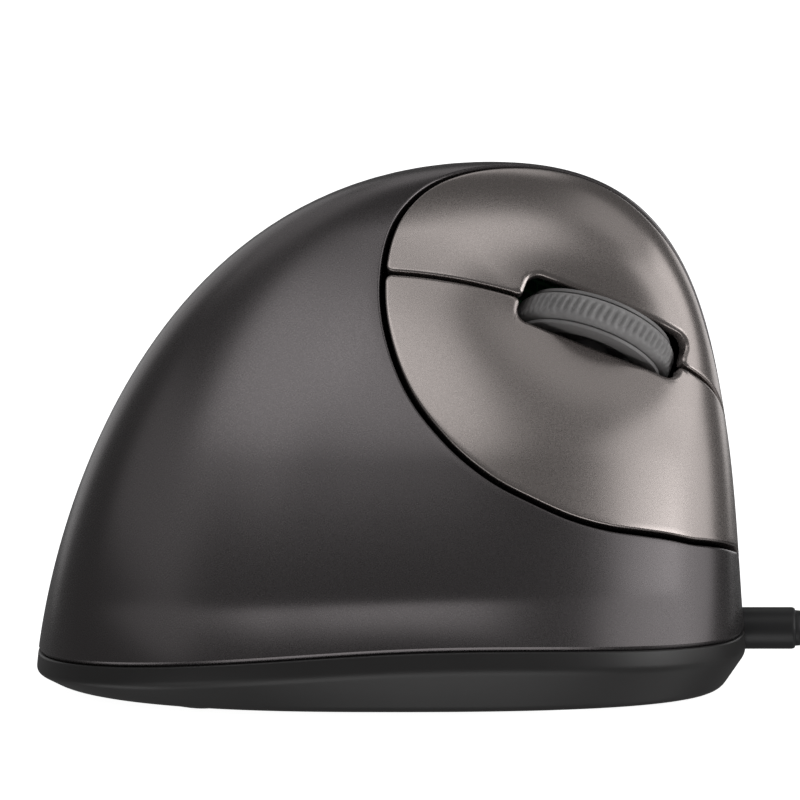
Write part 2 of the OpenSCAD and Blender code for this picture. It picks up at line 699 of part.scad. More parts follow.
// Wheel
module at_wheel() { on_finger_face() translate([0, 0, wheel_z]) children(); }
module wheel_tyre() {
    r = wheel_d / 2;
    color(rubber) at_wheel() difference() {
        rotate([90, 0, 0]) translate([0, 0, -tyre_width / 2]) linear_extrude(tyre_width)
            polygon([for (i = [0:rib_count - 1]) for (k = [[0.14, 0], [0.36, 1], [0.64, 1], [0.86, 0]])
                let (a = 360 * (i + k[0]) / rib_count) (r - rib_height * (1 - k[1])) * [cos(a), sin(a)]]);
        bar_y(hub_d / 2, -wheel_width, wheel_width);
    }
}
module wheel_hub() {
    r = hub_d / 2;
    bed = tyre_width / 2 + 0.15;
    color(housing) at_wheel() difference() {
        rotate([-90, 0, 0]) rotate_extrude() polygon([
            [axle_r, -wheel_side], [3, -wheel_side], [3, -1.2], [r - 1.6, -1.2], [r - 1.6, -wheel_side],
            [rim_d / 2, -wheel_side], [rim_d / 2, -bed], [r, -bed], [r, bed], [rim_d / 2, bed],
            [rim_d / 2, wheel_side], [r - 1.6, wheel_side], [r - 1.6, 1.2], [3, 1.2],
            [3, wheel_side], [axle_r, wheel_side]]);
        for (a = [0:60:300]) rotate([0, a, 0]) translate([(3 + r - 1.6) / 2, 0, 0])
            bar_y(1.7, -wheel_width, wheel_width);
    }
}
module wheel_axle() {
    color(steel) at_wheel() bar_y(axle_r, encoder_y, shoe_y + shoe_wide + 0.4);
}
module encoder() {
    color(housing) at_wheel() difference() {
        block([-encoder_long / 2, encoder_y, -axle_height],
            [encoder_long / 2, encoder_y + encoder_wide, encoder_tall - axle_height]);
        bar_y(rotor_r + rotor_play, encoder_y - 1, encoder_y + encoder_wide + 1);
    }
}
module encoder_rotor() {
    color(ivory) at_wheel() difference() {
        bar_y(rotor_r, encoder_y, encoder_y + encoder_wide);
        bar_y(axle_r, encoder_y - 1, encoder_y + encoder_wide + 1);
    }
}
module axle_shoe() {
    color(ivory) at_wheel() difference() {
        block([-shoe_half, shoe_y, -shoe_down], [shoe_half, shoe_y + shoe_wide, shoe_up]);
        bar_y(axle_r + run_fit, shoe_y - 1, shoe_y + shoe_wide + 1);
    }
}

// Button board, and the switches on it
module button_board() {
    color(board_green) on_finger_face() difference() {
        block([button_board_x[0], button_board_y[0], face_under],
            [button_board_x[1], button_board_y[1], face_board]);
        block([-sqrt(pow(wheel_d / 2, 2) - pow(axle_height, 2)) - wheel_gap, -wheel_side - board_gap,
            face_under - 1], [button_board_x[1] + 1, wheel_side + board_gap, face_board + 1]);
        for (s = [-1, 1]) translate([s * (shoe_half + slide_gap + guide_thick / 2), 0, 0])
            block([-guide_thick / 2 - part_gap, shoe_y - part_gap, face_under - 1],
                [guide_thick / 2 + part_gap, shoe_y + shoe_wide + part_gap, face_board + 1]);
    }
}
// A microswitch body with the well of its plunger, standing on z = 0
module microswitch() {
    s = switch_size;
    difference() {
        block([-s[0] / 2, -s[1] / 2, 0], [s[0] / 2, s[1] / 2, s[2]]);
        translate([plunger_x, 0, s[2] - 2]) cylinder(r = plunger_r + run_fit, h = 3);
        for (x = [-1, 1]) translate([x * s[0] * 0.38, 0, 1.4]) bar_y(0.9, -s[1], s[1]);
    }
}
module microswitch_plunger() {
    translate([plunger_x, 0, switch_size[2] - 1.3]) cylinder(r = plunger_r, h = 1.3 + plunger_up);
}
module under_cap(y) { on_finger_face() translate([0, y, face_board]) children(); }
module upper_switch() { color(housing) under_cap(upper_y) microswitch(); }
module lower_switch() { color(housing) under_cap(lower_y) microswitch(); }
module upper_plunger() { color(ivory) under_cap(upper_y) microswitch_plunger(); }
module lower_plunger() { color(ivory) under_cap(lower_y) microswitch_plunger(); }
// The tact switch fills the room between the board and the shoe
tact_up = axle_height - shoe_down - touch_gap - tact_size[2];
tact_r = 0.9;
tact_well = 0.8;
module middle_switch() {
    color(housing) under_cap(shoe_y + shoe_wide / 2) difference() {
        block([-shoe_half, -tact_size[1] / 2, 0], [shoe_half, tact_size[1] / 2, tact_size[2]]);
        translate([0, 0, tact_size[2] - tact_well]) cylinder(r = tact_r + run_fit, h = 2);
    }
}
module middle_plunger() {
    color(ivory) under_cap(shoe_y + shoe_wide / 2)
        translate([0, 0, tact_size[2] - tact_well / 2]) cylinder(r = tact_r, h = tact_up + tact_well / 2);
}

// Thumb buttons: pads that follow the shell, with a flange behind it and a post to press with
thumb_round = 28;
function thumb_loop(s, grow, rise) = [for (k = [0:thumb_round - 1]) let (
    a = -360 * k / thumb_round, half = (thumb_length - thumb_width) / 2, r = thumb_width / 2 + grow,
    x = s * thumb_reach + r * cos(a) + (cos(a) >= 0 ? half : -half), y = r * sin(a),
    d = on_thumb(x, y)) skin(d) + rise * thumb_z];
// Height of the skin over the thumb frame at x, and where the switch's plunger ends
function thumb_rise(x) = (skin(on_thumb(x, 0)) - thumb_o) * thumb_z;
thumb_plunger_top = thumb_board_top + thumb_switch[2] + thumb_plunger_up;
module thumb_button(s) {
    behind = -wall - slide_gap - 0.5;
    color(charcoal) {
        loft_loops([
            thumb_loop(s, thumb_flange, behind - thumb_flange_thick), thumb_loop(s, thumb_flange, behind),
            thumb_loop(s, 0, behind), thumb_loop(s, 0, thumb_proud - 0.5),
            thumb_loop(s, -0.25, thumb_proud - 0.15), thumb_loop(s, -0.8, thumb_proud),
            thumb_loop(s, -2.4, thumb_proud + 0.15)]);
        on_thumb_side() translate([s * thumb_reach, 0, thumb_plunger_top + touch_gap])
            cylinder(r = press_r, h = thumb_rise(s * thumb_reach) - 1 - thumb_plunger_top - touch_gap);
    }
}
module thumb_forward() { thumb_button(1); }
module thumb_back() { thumb_button(-1); }
module thumb_board() {
    color(board_green) on_thumb_side()
        block([-thumb_board_half[0], -thumb_board_half[1], thumb_board_under],
            [thumb_board_half[0], thumb_board_half[1], thumb_board_top]);
}
module at_thumb_switch(s) { on_thumb_side() translate([s * thumb_reach, 0, thumb_board_top]) children(); }
module thumb_switch_body(s) {
    t = thumb_switch;
    color(housing) at_thumb_switch(s) difference() {
        block([-t[0] / 2, -t[1] / 2, 0], [t[0] / 2, t[1] / 2, t[2]]);
        translate([0, 0, t[2] - 1]) cylinder(r = thumb_plunger_r + run_fit, h = 2);
    }
}
module thumb_plunger_pin(s) {
    color(ivory) at_thumb_switch(s) translate([0, 0, thumb_switch[2] - 0.5])
        cylinder(r = thumb_plunger_r, h = 0.5 + thumb_plunger_up);
}
module forward_switch() { thumb_switch_body(1); }
module back_switch() { thumb_switch_body(-1); }
module forward_plunger() { thumb_plunger_pin(1); }
module back_plunger() { thumb_plunger_pin(-1); }

// Main board and the tracking unit over the window in the base
main_board_x = [-34, -2];
main_board_y = [-15, 15];
lens_flange = 1.1;
module main_board() {
    color(board_green) difference() {
        block([main_board_x[0], main_board_y[0], board_z], [main_board_x[1], main_board_y[1], board_top]);
        translate([sensor_x, 0, board_z - 1]) cylinder(r = 3.4, h = board_thick + 2);
    }
}
module sensor_chip() {
    color(housing) translate([sensor_x, 0, 0]) {
        block([-6, -5, board_top], [6, 5, board_top + 2.6]);
        translate([0, 0, board_z]) cylinder(r = 3, h = board_thick + eps);
    }
}
module sensor_lens() {
    color("#dfe9ef") translate([sensor_x, 0, 0]) {
        block([-window[0] / 2 - 3, -window[1] / 2 - 2, floor_z],
            [window[0] / 2 + 3, window[1] / 2 + 2, floor_z + lens_flange]);
        translate([0, 0, base_z + 0.6]) cylinder(r1 = 3, r2 = 4, h = floor_thick - 0.6 + eps);
    }
}
module sensor_led() {
    color("#c8323a") translate([sensor_x - 10, 0, board_top]) rotate_extrude()
        polygon(concat([[0, 0], [1.9, 0], [1.9, 0.8], [1.5, 0.8]],
            [for (a = [0:15:90]) [1.5 * cos(a), 2.6 + 1.5 * sin(a)]]));
}
socket_x = [-9, -3];
module cable_socket() {
    color(ivory) difference() {
        block([socket_x[0], -5, board_top], [socket_x[1], 5, cable_z + cable_d / 2 + 0.8]);
        translate([0, 0, cable_z]) bar_x(cable_d / 2, socket_x[0] + 2, socket_x[1] + 1);
    }
}

// Cable
module inner_lead() {
    color(jet) translate([0, 0, cable_z]) bar_x(cable_d / 2, socket_x[0] + 2, relief_end);
}
module strain_relief() {
    r = relief_d / 2;
    x1 = relief_wall;
    x2 = relief_wall + relief_collar;
    color(jet) translate([0, 0, cable_z]) rotate([0, 90, 0]) rotate_extrude() polygon([
        [relief_bore, relief_in], [r + relief_flange, relief_in],
        [r + relief_flange, relief_in + relief_flange], [r, relief_in + relief_flange],
        [r, x2 - 0.3], [r - 0.3, x2], [relief_tail_r, x2], [relief_tip_r, relief_end - 0.3],
        [relief_tip_r - 0.2, relief_end], [relief_bore, relief_end]]);
}
module cable_lead() { color(jet) tube(lead_route, cable_d / 2, 8); }
// Least gap between stretches of the coil that lie half a turn or more apart
function coil_gap(pts) = let (n = len(pts) - 1, far = coil_rings / 2)
    min([for (i = [0:n - far]) min([for (k = [i + far:n]) norm(pts[i] - pts[k])])]) - cable_d;
module cable_coil() {
    echo(str("least gap between the coil's turns: ", coil_gap(coil_route), " mm"));
    color(jet) tube(coil_route, cable_d / 2, 6);
}
module cable_tail() { color(jet) tube(tail_route, cable_d / 2, 8); }
module cable_tie() {
    inner = coil_inner + coil_step / 2 - cable_d / 2 - 2 * tie_play;
    outer = coil_inner + coil_step * (coil_turns - 1) / 2 + cable_d / 2 + tie_play;
    low = tie_thick;
    high = coil_z + coil_climb + cable_d / 2 + tie_play;
    color(rubber) translate([coil_x, coil_outer, 0]) difference() {
        block([-tie_wide / 2, inner - tie_thick, 0], [tie_wide / 2, outer + tie_thick, high + tie_thick]);
        block([-tie_wide, inner, low], [tie_wide, outer, high]);
    }
}
module usb_grip() {
    g = grip_size;
    color(jet) translate(plug) rotate([0, -90, 0]) hull() {
        linear_extrude(eps) square([5.4, 6.4], center = true);
        translate([0, 0, 9]) linear_extrude(g[0] - 9) offset(r = 1.6, $fn = 32)
            square([g[2] - 3.2, g[1] - 3.2], center = true);
    }
}
module usb_shell() {
    s = usb_size;
    color(steel) translate(plug - [grip_size[0] + s[0], 0, 0]) difference() {
        block([0, -s[1] / 2, -s[2] / 2], [s[0], s[1] / 2, s[2] / 2]);
        block([-1, -s[1] / 2 + usb_wall, -s[2] / 2 + usb_wall],
            [s[0] - 1, s[1] / 2 - usb_wall, s[2] / 2 - usb_wall]);
        for (y = [-3, 3]) block([s[0] - 10, y - 1.2, -s[2]], [s[0] - 7.6, y + 1.2, s[2]]);
    }
}
module usb_tongue() {
    s = usb_size;
    color(ivory) translate(plug - [grip_size[0] + s[0], 0, 0])
        block([0.8, -s[1] / 2 + usb_wall + 0.2, 0.1],
            [s[0] - 1, s[1] / 2 - usb_wall - 0.2, s[2] / 2 - usb_wall]);
}

main_shell();
base_plate();
glide_feet();
base_screws();
inner_frame();
upper_button();
lower_button();
hinge_pin();
wheel_tyre();
wheel_hub();
wheel_axle();
encoder();
encoder_rotor();
axle_shoe();
button_board();
upper_switch();
lower_switch();
middle_switch();
upper_plunger();
lower_plunger();
middle_plunger();
thumb_forward();
thumb_back();
thumb_board();
forward_switch();
back_switch();
forward_plunger();
back_plunger();
main_board();
sensor_chip();
sensor_lens();
sensor_led();
cable_socket();
inner_lead();
strain_relief();
cable_lead();
cable_coil();
cable_tail();
cable_tie();
usb_grip();
usb_shell();
usb_tongue();
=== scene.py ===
"""Corded vertical mouse for the right hand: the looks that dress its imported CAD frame."""

import math

import bmesh
import bpy
import numpy as np
from bpy.props import FloatProperty, FloatVectorProperty, IntProperty, PointerProperty
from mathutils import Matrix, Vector
from mathutils.geometry import tessellate_polygon


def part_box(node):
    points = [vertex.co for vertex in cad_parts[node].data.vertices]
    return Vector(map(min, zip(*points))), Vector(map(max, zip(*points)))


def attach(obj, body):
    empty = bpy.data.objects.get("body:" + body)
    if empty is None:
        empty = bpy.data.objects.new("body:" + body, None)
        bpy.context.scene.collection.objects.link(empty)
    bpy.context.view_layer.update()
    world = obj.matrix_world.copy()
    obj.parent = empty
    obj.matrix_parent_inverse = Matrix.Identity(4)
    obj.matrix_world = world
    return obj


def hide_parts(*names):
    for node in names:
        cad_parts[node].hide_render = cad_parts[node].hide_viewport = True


bl_info = {
    "name": "Corded vertical mouse",
    "version": (1, 0, 0),
    "blender": (4, 5, 0),
    "location": "3D View > Sidebar > Mouse",
    "description": "Builds the visible pieces of a corded vertical mouse round its CAD frame",
    "category": "Object",
}

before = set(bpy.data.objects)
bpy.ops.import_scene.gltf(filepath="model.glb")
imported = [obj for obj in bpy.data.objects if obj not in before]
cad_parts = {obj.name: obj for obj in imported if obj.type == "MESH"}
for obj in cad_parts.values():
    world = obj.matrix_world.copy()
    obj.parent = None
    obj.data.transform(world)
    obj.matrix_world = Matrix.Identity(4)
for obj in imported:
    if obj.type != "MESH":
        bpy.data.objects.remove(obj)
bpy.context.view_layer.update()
MM = 0.001


# Sizes and colours

def linear(code):
    """Linear RGB of an sRGB hex value."""
    parts = [int(code[i:i + 2], 16) / 255 for i in (1, 3, 5)]
    return tuple(x / 12.92 if x <= 0.04045 else ((x + 0.055) / 1.055) ** 2.4 for x in parts)


def length_prop(name, description, mm):
    """A length that a user may change, given in millimetres."""
    return FloatProperty(name=name, description=description, default=mm * MM, min=0.0, precision=5,
                         unit="LENGTH")


def colour_prop(name, description, code):
    """A colour that a user may change, given as a hex value."""
    return FloatVectorProperty(name=name, description=description, default=linear(code), min=0.0, max=1.0,
                               size=3, subtype="COLOR")


class MouseSizes(bpy.types.PropertyGroup):
    """Sizes of the mouse, which have to agree with the CAD frame."""

    body_length: length_prop("Body length", "Length over the shell's lower edge", 106)
    body_width: length_prop("Body width", "Width over the shell's lower edge", 72)
    body_height: length_prop("Body height", "Height of the crown above the desk", 78)
    skirt: length_prop("Skirt", "How far the sides stand out at the crease above their lower edge", 2)
    belly: length_prop("Belly", "How much further the finger side bellies out above the crease", 2)
    wall: length_prop("Shell wall", "Wall thickness of the shell", 2.2)
    cap_wall: length_prop("Cap wall", "Wall thickness of the button caps", 2)
    groove: length_prop("Groove", "Gap between the caps and the shell", 0.8)
    seam: length_prop("Seam", "Gap between the two caps", 0.6)
    slot_length: length_prop("Slot length", "Length of the wheel slot", 26)
    slot_width: length_prop("Slot width", "Width of the wheel slot", 7.8)
    edge_round: length_prop("Edge rounding", "Radius on the edges of shell and caps", 0.4)
    lower_bevel: length_prop("Lower bevel", "Bevel along the shell's lower edge, over the lip", 0.6)
    slot_bevel: length_prop("Slot bevel", "Width of the bevel round the wheel slot", 0.55)
    lip_height: length_prop("Lip height", "Height of the base's lip under the shell", 3)
    wheel_diameter: length_prop("Wheel diameter", "Outside diameter of the tyre", 24.8)
    wheel_width: length_prop("Wheel width", "Width over the hub's two rims", 5.9)
    tyre_width: length_prop("Tyre width", "Width of the tyre between the rims", 4.4)
    rim_diameter: length_prop("Rim diameter", "Diameter of the hub's rims beside the tyre", 22.6)
    hub_diameter: length_prop("Hub diameter", "Diameter on which the tyre sits", 19.2)
    rib_height: length_prop("Rib height", "Height of the ribs on the tyre", 0.5)
    rib_count: IntProperty(name="Ribs", description="Number of ribs round the tyre", default=62,
                           min=12, max=120)
    thumb_length: length_prop("Thumb button length", "Length of each thumb button", 18.4)
    thumb_width: length_prop("Thumb button width", "Width of each thumb button", 7.6)
    thumb_land: length_prop("Thumb button land", "Shell between the two thumb buttons", 2.4)
    thumb_proud: length_prop("Thumb button height", "How far a thumb button stands out", 1.2)
    cable_diameter: length_prop("Cable diameter", "Diameter of the cable's jacket", 4)


class MouseColours(bpy.types.PropertyGroup):
    """Colours of the mouse."""

    shell: colour_prop("Shell", "Satin metallic paint on the shell", "#696566")
    base: colour_prop("Base", "Moulded base and its lip", "#2a2929")
    buttons: colour_prop("Buttons", "Metallic paint on the button caps", "#aaa29f")
    thumb: colour_prop("Thumb buttons", "Moulded thumb buttons", "#2c2b2b")
    tyre: colour_prop("Tyre", "Rubber of the wheel's tyre", "#9a9898")
    hub: colour_prop("Hub", "Moulded hub of the wheel", "#8c8a8a")
    cable: colour_prop("Cable", "Jacket, strain relief and plug grip", "#222223")
    floor: colour_prop("Floor", "Studio floor", "#f4f4f4")


# The mouse's skin, in millimetres

CROWN = np.array([15.0, 8.0])
# Shares of the reach to each side, and of the height, at six control points from the crown to the lower edge
REAR_SHAPE = [0, 0.344, 0.672, 0.877, 0.972, 1]
FRONT_SHAPE = [0, 0.6105, 0.897, 0.948, 0.974, 1]
FINGER_SHAPE = [0, 0.178, 0.333, 0.578, 0.756, 1]
THUMB_SHAPE = [0, 0.276, 0.655, 0.345, 0.483, 1]
HEIGHT_SHAPE = [1, 1, 0.872, 0.59, 0.256, 0]
SECTION_POWER = 2.5
FRONT_POWER = 0.3
CROWN_BLEND = 0.45
EDGE_REAR = 5.3
EDGE_FRONT = 8.6
EDGE_LIFT = 3.1
LIFT_AT = 85
LIFT_SPREAD = 45
DISH = (2.0, 17.0, 8.5)
CREASE_AT = 0.89
CREASE_SOFT = 0.06
BELLY_AT = 0.68
BELLY_TOP = 0.5
BELLY_DROP = 0.2
BELLY_TURN = (56, 40)
SLOT_MIDDLE = np.array([0.275, -0.386])
SLOT_WAY = np.array([0.29, 0.075])
THUMB_MIDDLE = np.array([0.09, 0.58])
EGG_MIDDLE = np.array([0.36, -0.34])
# How far the button opening's edge lies from its middle, every 15 degrees from the front
EGG_REACH = np.array([
    0.392, 0.462, 0.552, 0.460, 0.312, 0.284, 0.282, 0.292, 0.353, 0.431, 0.47, 0.48,
    0.48, 0.477, 0.462, 0.43, 0.394, 0.358, 0.333, 0.314, 0.302, 0.303, 0.319, 0.346])
SEAM_REAR = 183
SEAM_FRONT = 46.5
REAR_BEND = (0, -0.408)
FRONT_BEND = (0.56, -0.235)
SLOT_CORNER = 2.0
CAP_CORNER = 1.2
NUDGE = 1e-4


def unit(v):
    """Vectors of length one."""
    return v / np.linalg.norm(v, axis=-1, keepdims=True)


def ease(f):
    """A smooth step from 0 to 1."""
    x = np.clip(f, 0, 1)
    return x * x * (3 - 2 * x)


def dot(a, b):
    """Dot products along the last axis."""
    return np.sum(a * b, axis=-1)


def bezier(points, t):
    """The place at t on the curve that the control points shape."""
    t = np.asarray(t, float)[..., None]
    level = [np.asarray(p, float) for p in points]
    while len(level) > 1:
        level = [a * (1 - t) + b * t for a, b in zip(level[:-1], level[1:])]
    return level[0]


def edge_height(a):
    """Height of the shell's lower edge, a radians round from the front."""
    side = np.abs((np.degrees(a) + 540) % 360 - 180)
    lift = EDGE_LIFT * np.exp(-((side - LIFT_AT) / LIFT_SPREAD) ** 2)
    return EDGE_REAR + (EDGE_FRONT - EDGE_REAR) * (1 + np.cos(a)) / 2 + lift


class Skin:
    """The outer surface, drawn over a disc whose middle is the crown and whose rim is the lower edge."""

    def __init__(self, sizes):
        half = sizes.body_length / MM / 2
        side = sizes.body_width / MM / 2
        reach = [half + CROWN[0], half - CROWN[0], side + CROWN[1], side - CROWN[1], sizes.body_height / MM]
        shapes = np.array([REAR_SHAPE, FRONT_SHAPE, FINGER_SHAPE, THUMB_SHAPE, HEIGHT_SHAPE])
        self.loft = (shapes * np.array(reach)[:, None]).T
        self.skirt = sizes.skirt / MM
        self.belly = sizes.belly / MM
        self.face_o = self.body(SLOT_MIDDLE)
        p = self.body(SLOT_MIDDLE + [NUDGE, 0]) - self.face_o
        q = self.body(SLOT_MIDDLE + [0, NUDGE]) - self.face_o
        self.face_z = unit(np.cross(p, q))
        way = p * SLOT_WAY[0] + q * SLOT_WAY[1]
        self.face_x = unit(way - dot(way, self.face_z) * self.face_z)
        self.face_y = np.cross(self.face_z, self.face_x)
        self.thumb_o = self.at(THUMB_MIDDLE)
        self.thumb_z = self.normal(THUMB_MIDDLE)
        self.thumb_x = unit(np.array([1.0, 0, 0]) - self.thumb_z[0] * self.thumb_z)
        self.thumb_y = np.cross(self.thumb_z, self.thumb_x)

    def swell(self, t, a):
        """How far the sides stand out: flared up to the crease, and on the finger side bellied above it."""
        flare = self.skirt * (1 - (1 - np.minimum(1, (1 - t) / (1 - CREASE_AT))) ** 2)
        rise = (CREASE_AT - t) / (CREASE_AT - BELLY_AT)
        rise = np.minimum(1, (rise + np.sqrt(rise ** 2 + CREASE_SOFT ** 2)) / 2)
        top = BELLY_TOP - BELLY_DROP * ease((-np.degrees(a) - BELLY_TURN[0]) / BELLY_TURN[1])
        upper = np.where(t < BELLY_AT, ease((t - top) / (BELLY_AT - top)), 1)
        finger = (flare + self.belly * (1 - (1 - rise) ** 2.5)) * upper
        thumb = flare * (1 - ease((CREASE_AT - t) / 0.3))
        return np.where(a < 0, -finger, thumb) * np.abs(np.sin(a)) ** (2.5 + 1.5 * np.cos(a))

    def body(self, d):
        """Points of the undished skin."""
        d = np.asarray(d, float)
        t = np.linalg.norm(d, axis=-1)
        a = np.arctan2(d[..., 1], d[..., 0])
        c = np.cos(a)
        s = np.sin(a)
        rear, front, finger, thumb, height = np.moveaxis(bezier(self.loft, t), -1, 0)
        power = 2 + (SECTION_POWER - 2 + FRONT_POWER * c) * ease(t / CROWN_BLEND)
        k = (np.abs(c) ** power + np.abs(s) ** power) ** (-1 / power)
        x = CROWN[0] + (front - rear) / 2 + (front + rear) / 2 * k * c
        y = CROWN[1] + (thumb - finger) / 2 + (thumb + finger) / 2 * k * s + self.swell(t, a)
        return np.stack([x, y, height + t ** 5 * edge_height(a)], -1)

    def at(self, d):
        """Points of the skin, dished round the wheel slot."""
        s = self.body(d)
        v = s - self.face_o
        depth, along, across = DISH
        dip = depth * np.exp(-(dot(v, self.face_x) / along) ** 2 - (dot(v, self.face_y) / across) ** 2)
        return s - dip[..., None] * self.face_z

    def slopes(self, d):
        """The skin's two slopes."""
        d = np.asarray(d, float)
        p = np.array([NUDGE, 0])
        q = np.array([0, NUDGE])
        return tuple((self.at(d + step) - self.at(d - step)) / (2 * NUDGE) for step in (p, q))

    def normal(self, d):
        """Outward directions."""
        return unit(np.cross(*self.slopes(d)))

    def under(self, d, depth):
        """Points at a depth under the skin, which is taken level towards the lower edge."""
        d = np.asarray(d, float)
        n = self.normal(d)
        flat = unit(n * [1, 1, 0])
        f = ease((np.linalg.norm(d, axis=-1) - 0.8) / 0.2)[..., None]
        return self.at(d) - np.asarray(depth, float)[..., None] * unit(n * (1 - f) + flat * f)

    def beside(self, d, way, dist):
        """Places that lie dist to the left of d, for someone who walks along way on the skin."""
        p, q = self.slopes(d)
        t = p * way[..., :1] + q * way[..., 1:]
        b = unit(np.cross(np.cross(p, q), t)) * np.asarray(dist, float)[..., None]
        pp, pq, qq = dot(p, p), dot(p, q), dot(q, q)
        pb, qb = dot(p, b), dot(q, b)
        step = np.stack([qq * pb - pq * qb, pp * qb - pq * pb], -1) / (pp * qq - pq * pq)[..., None]
        return d + step

    def seek(self, o, ex, ey, xy, start):
        """Places whose skin lies at xy in the frame o, ex, ey."""
        xy = np.asarray(xy, float)
        d = np.broadcast_to(start, xy.shape).astype(float)
        for _ in range(8):
            p, q = self.slopes(d)
            v = self.at(d) - o
            ax, bx, ay, by = dot(p, ex), dot(q, ex), dot(p, ey), dot(q, ey)
            gx = xy[..., 0] - dot(v, ex)
            gy = xy[..., 1] - dot(v, ey)
            d = d + np.stack([by * gx - bx * gy, ax * gy - ay * gx], -1) / (ax * by - bx * ay)[..., None]
        return d

    def on_face(self, xy):
        """Places at xy in the finger face's frame."""
        return self.seek(self.face_o, self.face_x, self.face_y, xy, SLOT_MIDDLE)

    def on_thumb(self, xy):
        """Places at xy in the thumb side's frame."""
        return self.seek(self.thumb_o, self.thumb_x, self.thumb_y, xy, THUMB_MIDDLE)

    def face_rise(self, xy):
        """Heights of the skin over the finger face's frame."""
        return dot(self.at(self.on_face(xy)) - self.face_o, self.face_z)

    def face_point(self, x, y, z):
        """Points of the finger face's frame."""
        return self.face_o + np.stack(np.broadcast_arrays(x, y, z), -1) @ np.array(
            [self.face_x, self.face_y, self.face_z])

    @staticmethod
    def egg(a):
        """The button opening's edge, a degrees round its middle."""
        a = np.asarray(a, float)
        n = len(EGG_REACH)
        x = a % 360 / 360 * n
        i = np.floor(x).astype(int)
        f = x - i
        w = [EGG_REACH[(i + k) % n] for k in (-1, 0, 1, 2)]
        r = w[1] + f / 2 * (w[2] - w[0] + f * (2 * w[0] - 5 * w[1] + 4 * w[2] - w[3]
                                               + f * (3 * (w[1] - w[2]) + w[3] - w[0])))
        return EGG_MIDDLE + r[..., None] * np.stack([np.cos(np.radians(a)), np.sin(np.radians(a))], -1)

    @staticmethod
    def rim(a):
        """The disc's rim, seen from the opening's middle at a degrees."""
        a = np.radians(np.asarray(a, float))
        w = np.stack([np.cos(a), np.sin(a)], -1)
        c = w @ EGG_MIDDLE
        return EGG_MIDDLE + w * (np.sqrt(c * c + 1 - EGG_MIDDLE @ EGG_MIDDLE) - c)[..., None]


# Meshes

ROUND_STEPS = np.array([0, 0.07, 0.2, 0.38, 0.62, 0.85, 1.0])


def round_drop(dist, radius):
    """How far a rounded edge of that radius lies under the skin, at a distance from the edge."""
    inside = np.clip(radius - dist, 0, radius)
    return radius - np.sqrt(radius ** 2 - inside ** 2)


def grid_faces(rows, cols, wrap_rows=False, wrap_cols=False, start=0):
    """Four-sided faces of a grid of points."""
    r = np.arange(rows if wrap_rows else rows - 1)[:, None]
    c = np.arange(cols if wrap_cols else cols - 1)[None, :]
    r2 = (r + 1) % rows
    c2 = (c + 1) % cols
    corners = [r * cols + c, r * cols + c2, r2 * cols + c2, r2 * cols + c]
    return (np.stack([x + 0 * (r + c) for x in corners], -1).reshape(-1, 4) + start).tolist()


def loop_fan(start, count):
    """One face over a loop of points."""
    return list(range(start, start + count))


def link_piece(obj, body, replaced):
    """Puts a piece on its body and the CAD nodes that it stands for."""
    if obj.name not in bpy.context.scene.collection.objects:
        bpy.context.scene.collection.objects.link(obj)
    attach(obj, body)
    if replaced:
        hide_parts(*replaced)
    return obj


def mesh_piece(name, points, faces, finish, body, replaced=(), sharp=38):
    """A piece from points in millimetres, with smooth faces up to the sharp angle."""
    mesh = bpy.data.meshes.new(name)
    mesh.from_pydata((np.asarray(points) * MM).tolist(), [], faces)
    bm = bmesh.new()
    bm.from_mesh(mesh)
    bmesh.ops.recalc_face_normals(bm, faces=bm.faces)
    bm.to_mesh(mesh)
    bm.free()
    mesh.shade_smooth()
    mesh.set_sharp_from_angle(angle=math.radians(sharp))
    mesh.materials.append(finish)
    return link_piece(bpy.data.objects.new(name, mesh), body, replaced)


def rounded_box_line(low, high, radius, steps):
    """Points round a rectangle with rounded corners."""
    line = []
    for k, (sx, sy) in enumerate([(1, 1), (-1, 1), (-1, -1), (1, -1)]):
        a = np.radians(90 * k + np.linspace(0, 90, steps))
        x = (high[0] if sx > 0 else low[0]) - sx * radius
        y = (high[1] if sy > 0 else low[1]) - sy * radius
        line.append(np.stack([x + radius * np.cos(a), y + radius * np.sin(a)], -1))
    return np.concatenate(line)


def circle_line(radius, sides, x=0.0, y=0.0):
    """Points round a circle."""
    a = np.linspace(0, 2 * np.pi, sides, endpoint=False)
    return np.stack([x + radius * np.cos(a), y + radius * np.sin(a)], -1)


def lathe(profile, sides, centre, axis, side_way, closed=True):
    """Points and faces of a profile of (along, radius) turned round an axis."""
    profile = np.asarray(profile, float)
    other = np.cross(axis, side_way)
    a = np.linspace(0, 2 * np.pi, sides, endpoint=False)
    ring = np.cos(a)[:, None] * side_way + np.sin(a)[:, None] * other
    points = centre + profile[:, :1, None] * axis + profile[:, 1:, None] * ring
    return points.reshape(-1, 3), grid_faces(len(profile), sides, closed, True)


class Parts:
    """Gathers points and faces of several shapes for one mesh."""

    def __init__(self):
        self.points = []
        self.faces = []
        self.count = 0

    def add(self, points, faces):
        """Adds a shape whose faces count its own points from 0, and returns where it starts."""
        start = self.count
        points = np.asarray(points, float).reshape(-1, 3)
        self.points.append(points)
        self.faces += [[i + start for i in f] for f in faces]
        self.count += len(points)
        return start

    def sheet(self, loops):
        """A flat sheet inside the first loop of points, with the other loops as its holes."""
        points = self.all_points()
        index = [i for loop in loops for i in loop]
        lines = [[Vector(points[i]) for i in loop] for loop in loops]
        self.faces += [[index[i] for i in f] for f in tessellate_polygon(lines)]

    def slab(self, loops, low, high):
        """A plate between two levels, whose outline is the first loop and whose holes are the others."""
        ends = [[loop_fan(self.add(level(loop), []), len(loop)) for loop in loops] for level in (low, high)]
        for a, b in zip(*ends):
            n = len(a)
            self.faces += [[a[i], a[(i + 1) % n], b[(i + 1) % n], b[i]] for i in range(n)]
        for end in ends:
            self.sheet(end)

    def all_points(self):
        """All points so far."""
        return np.concatenate(self.points)


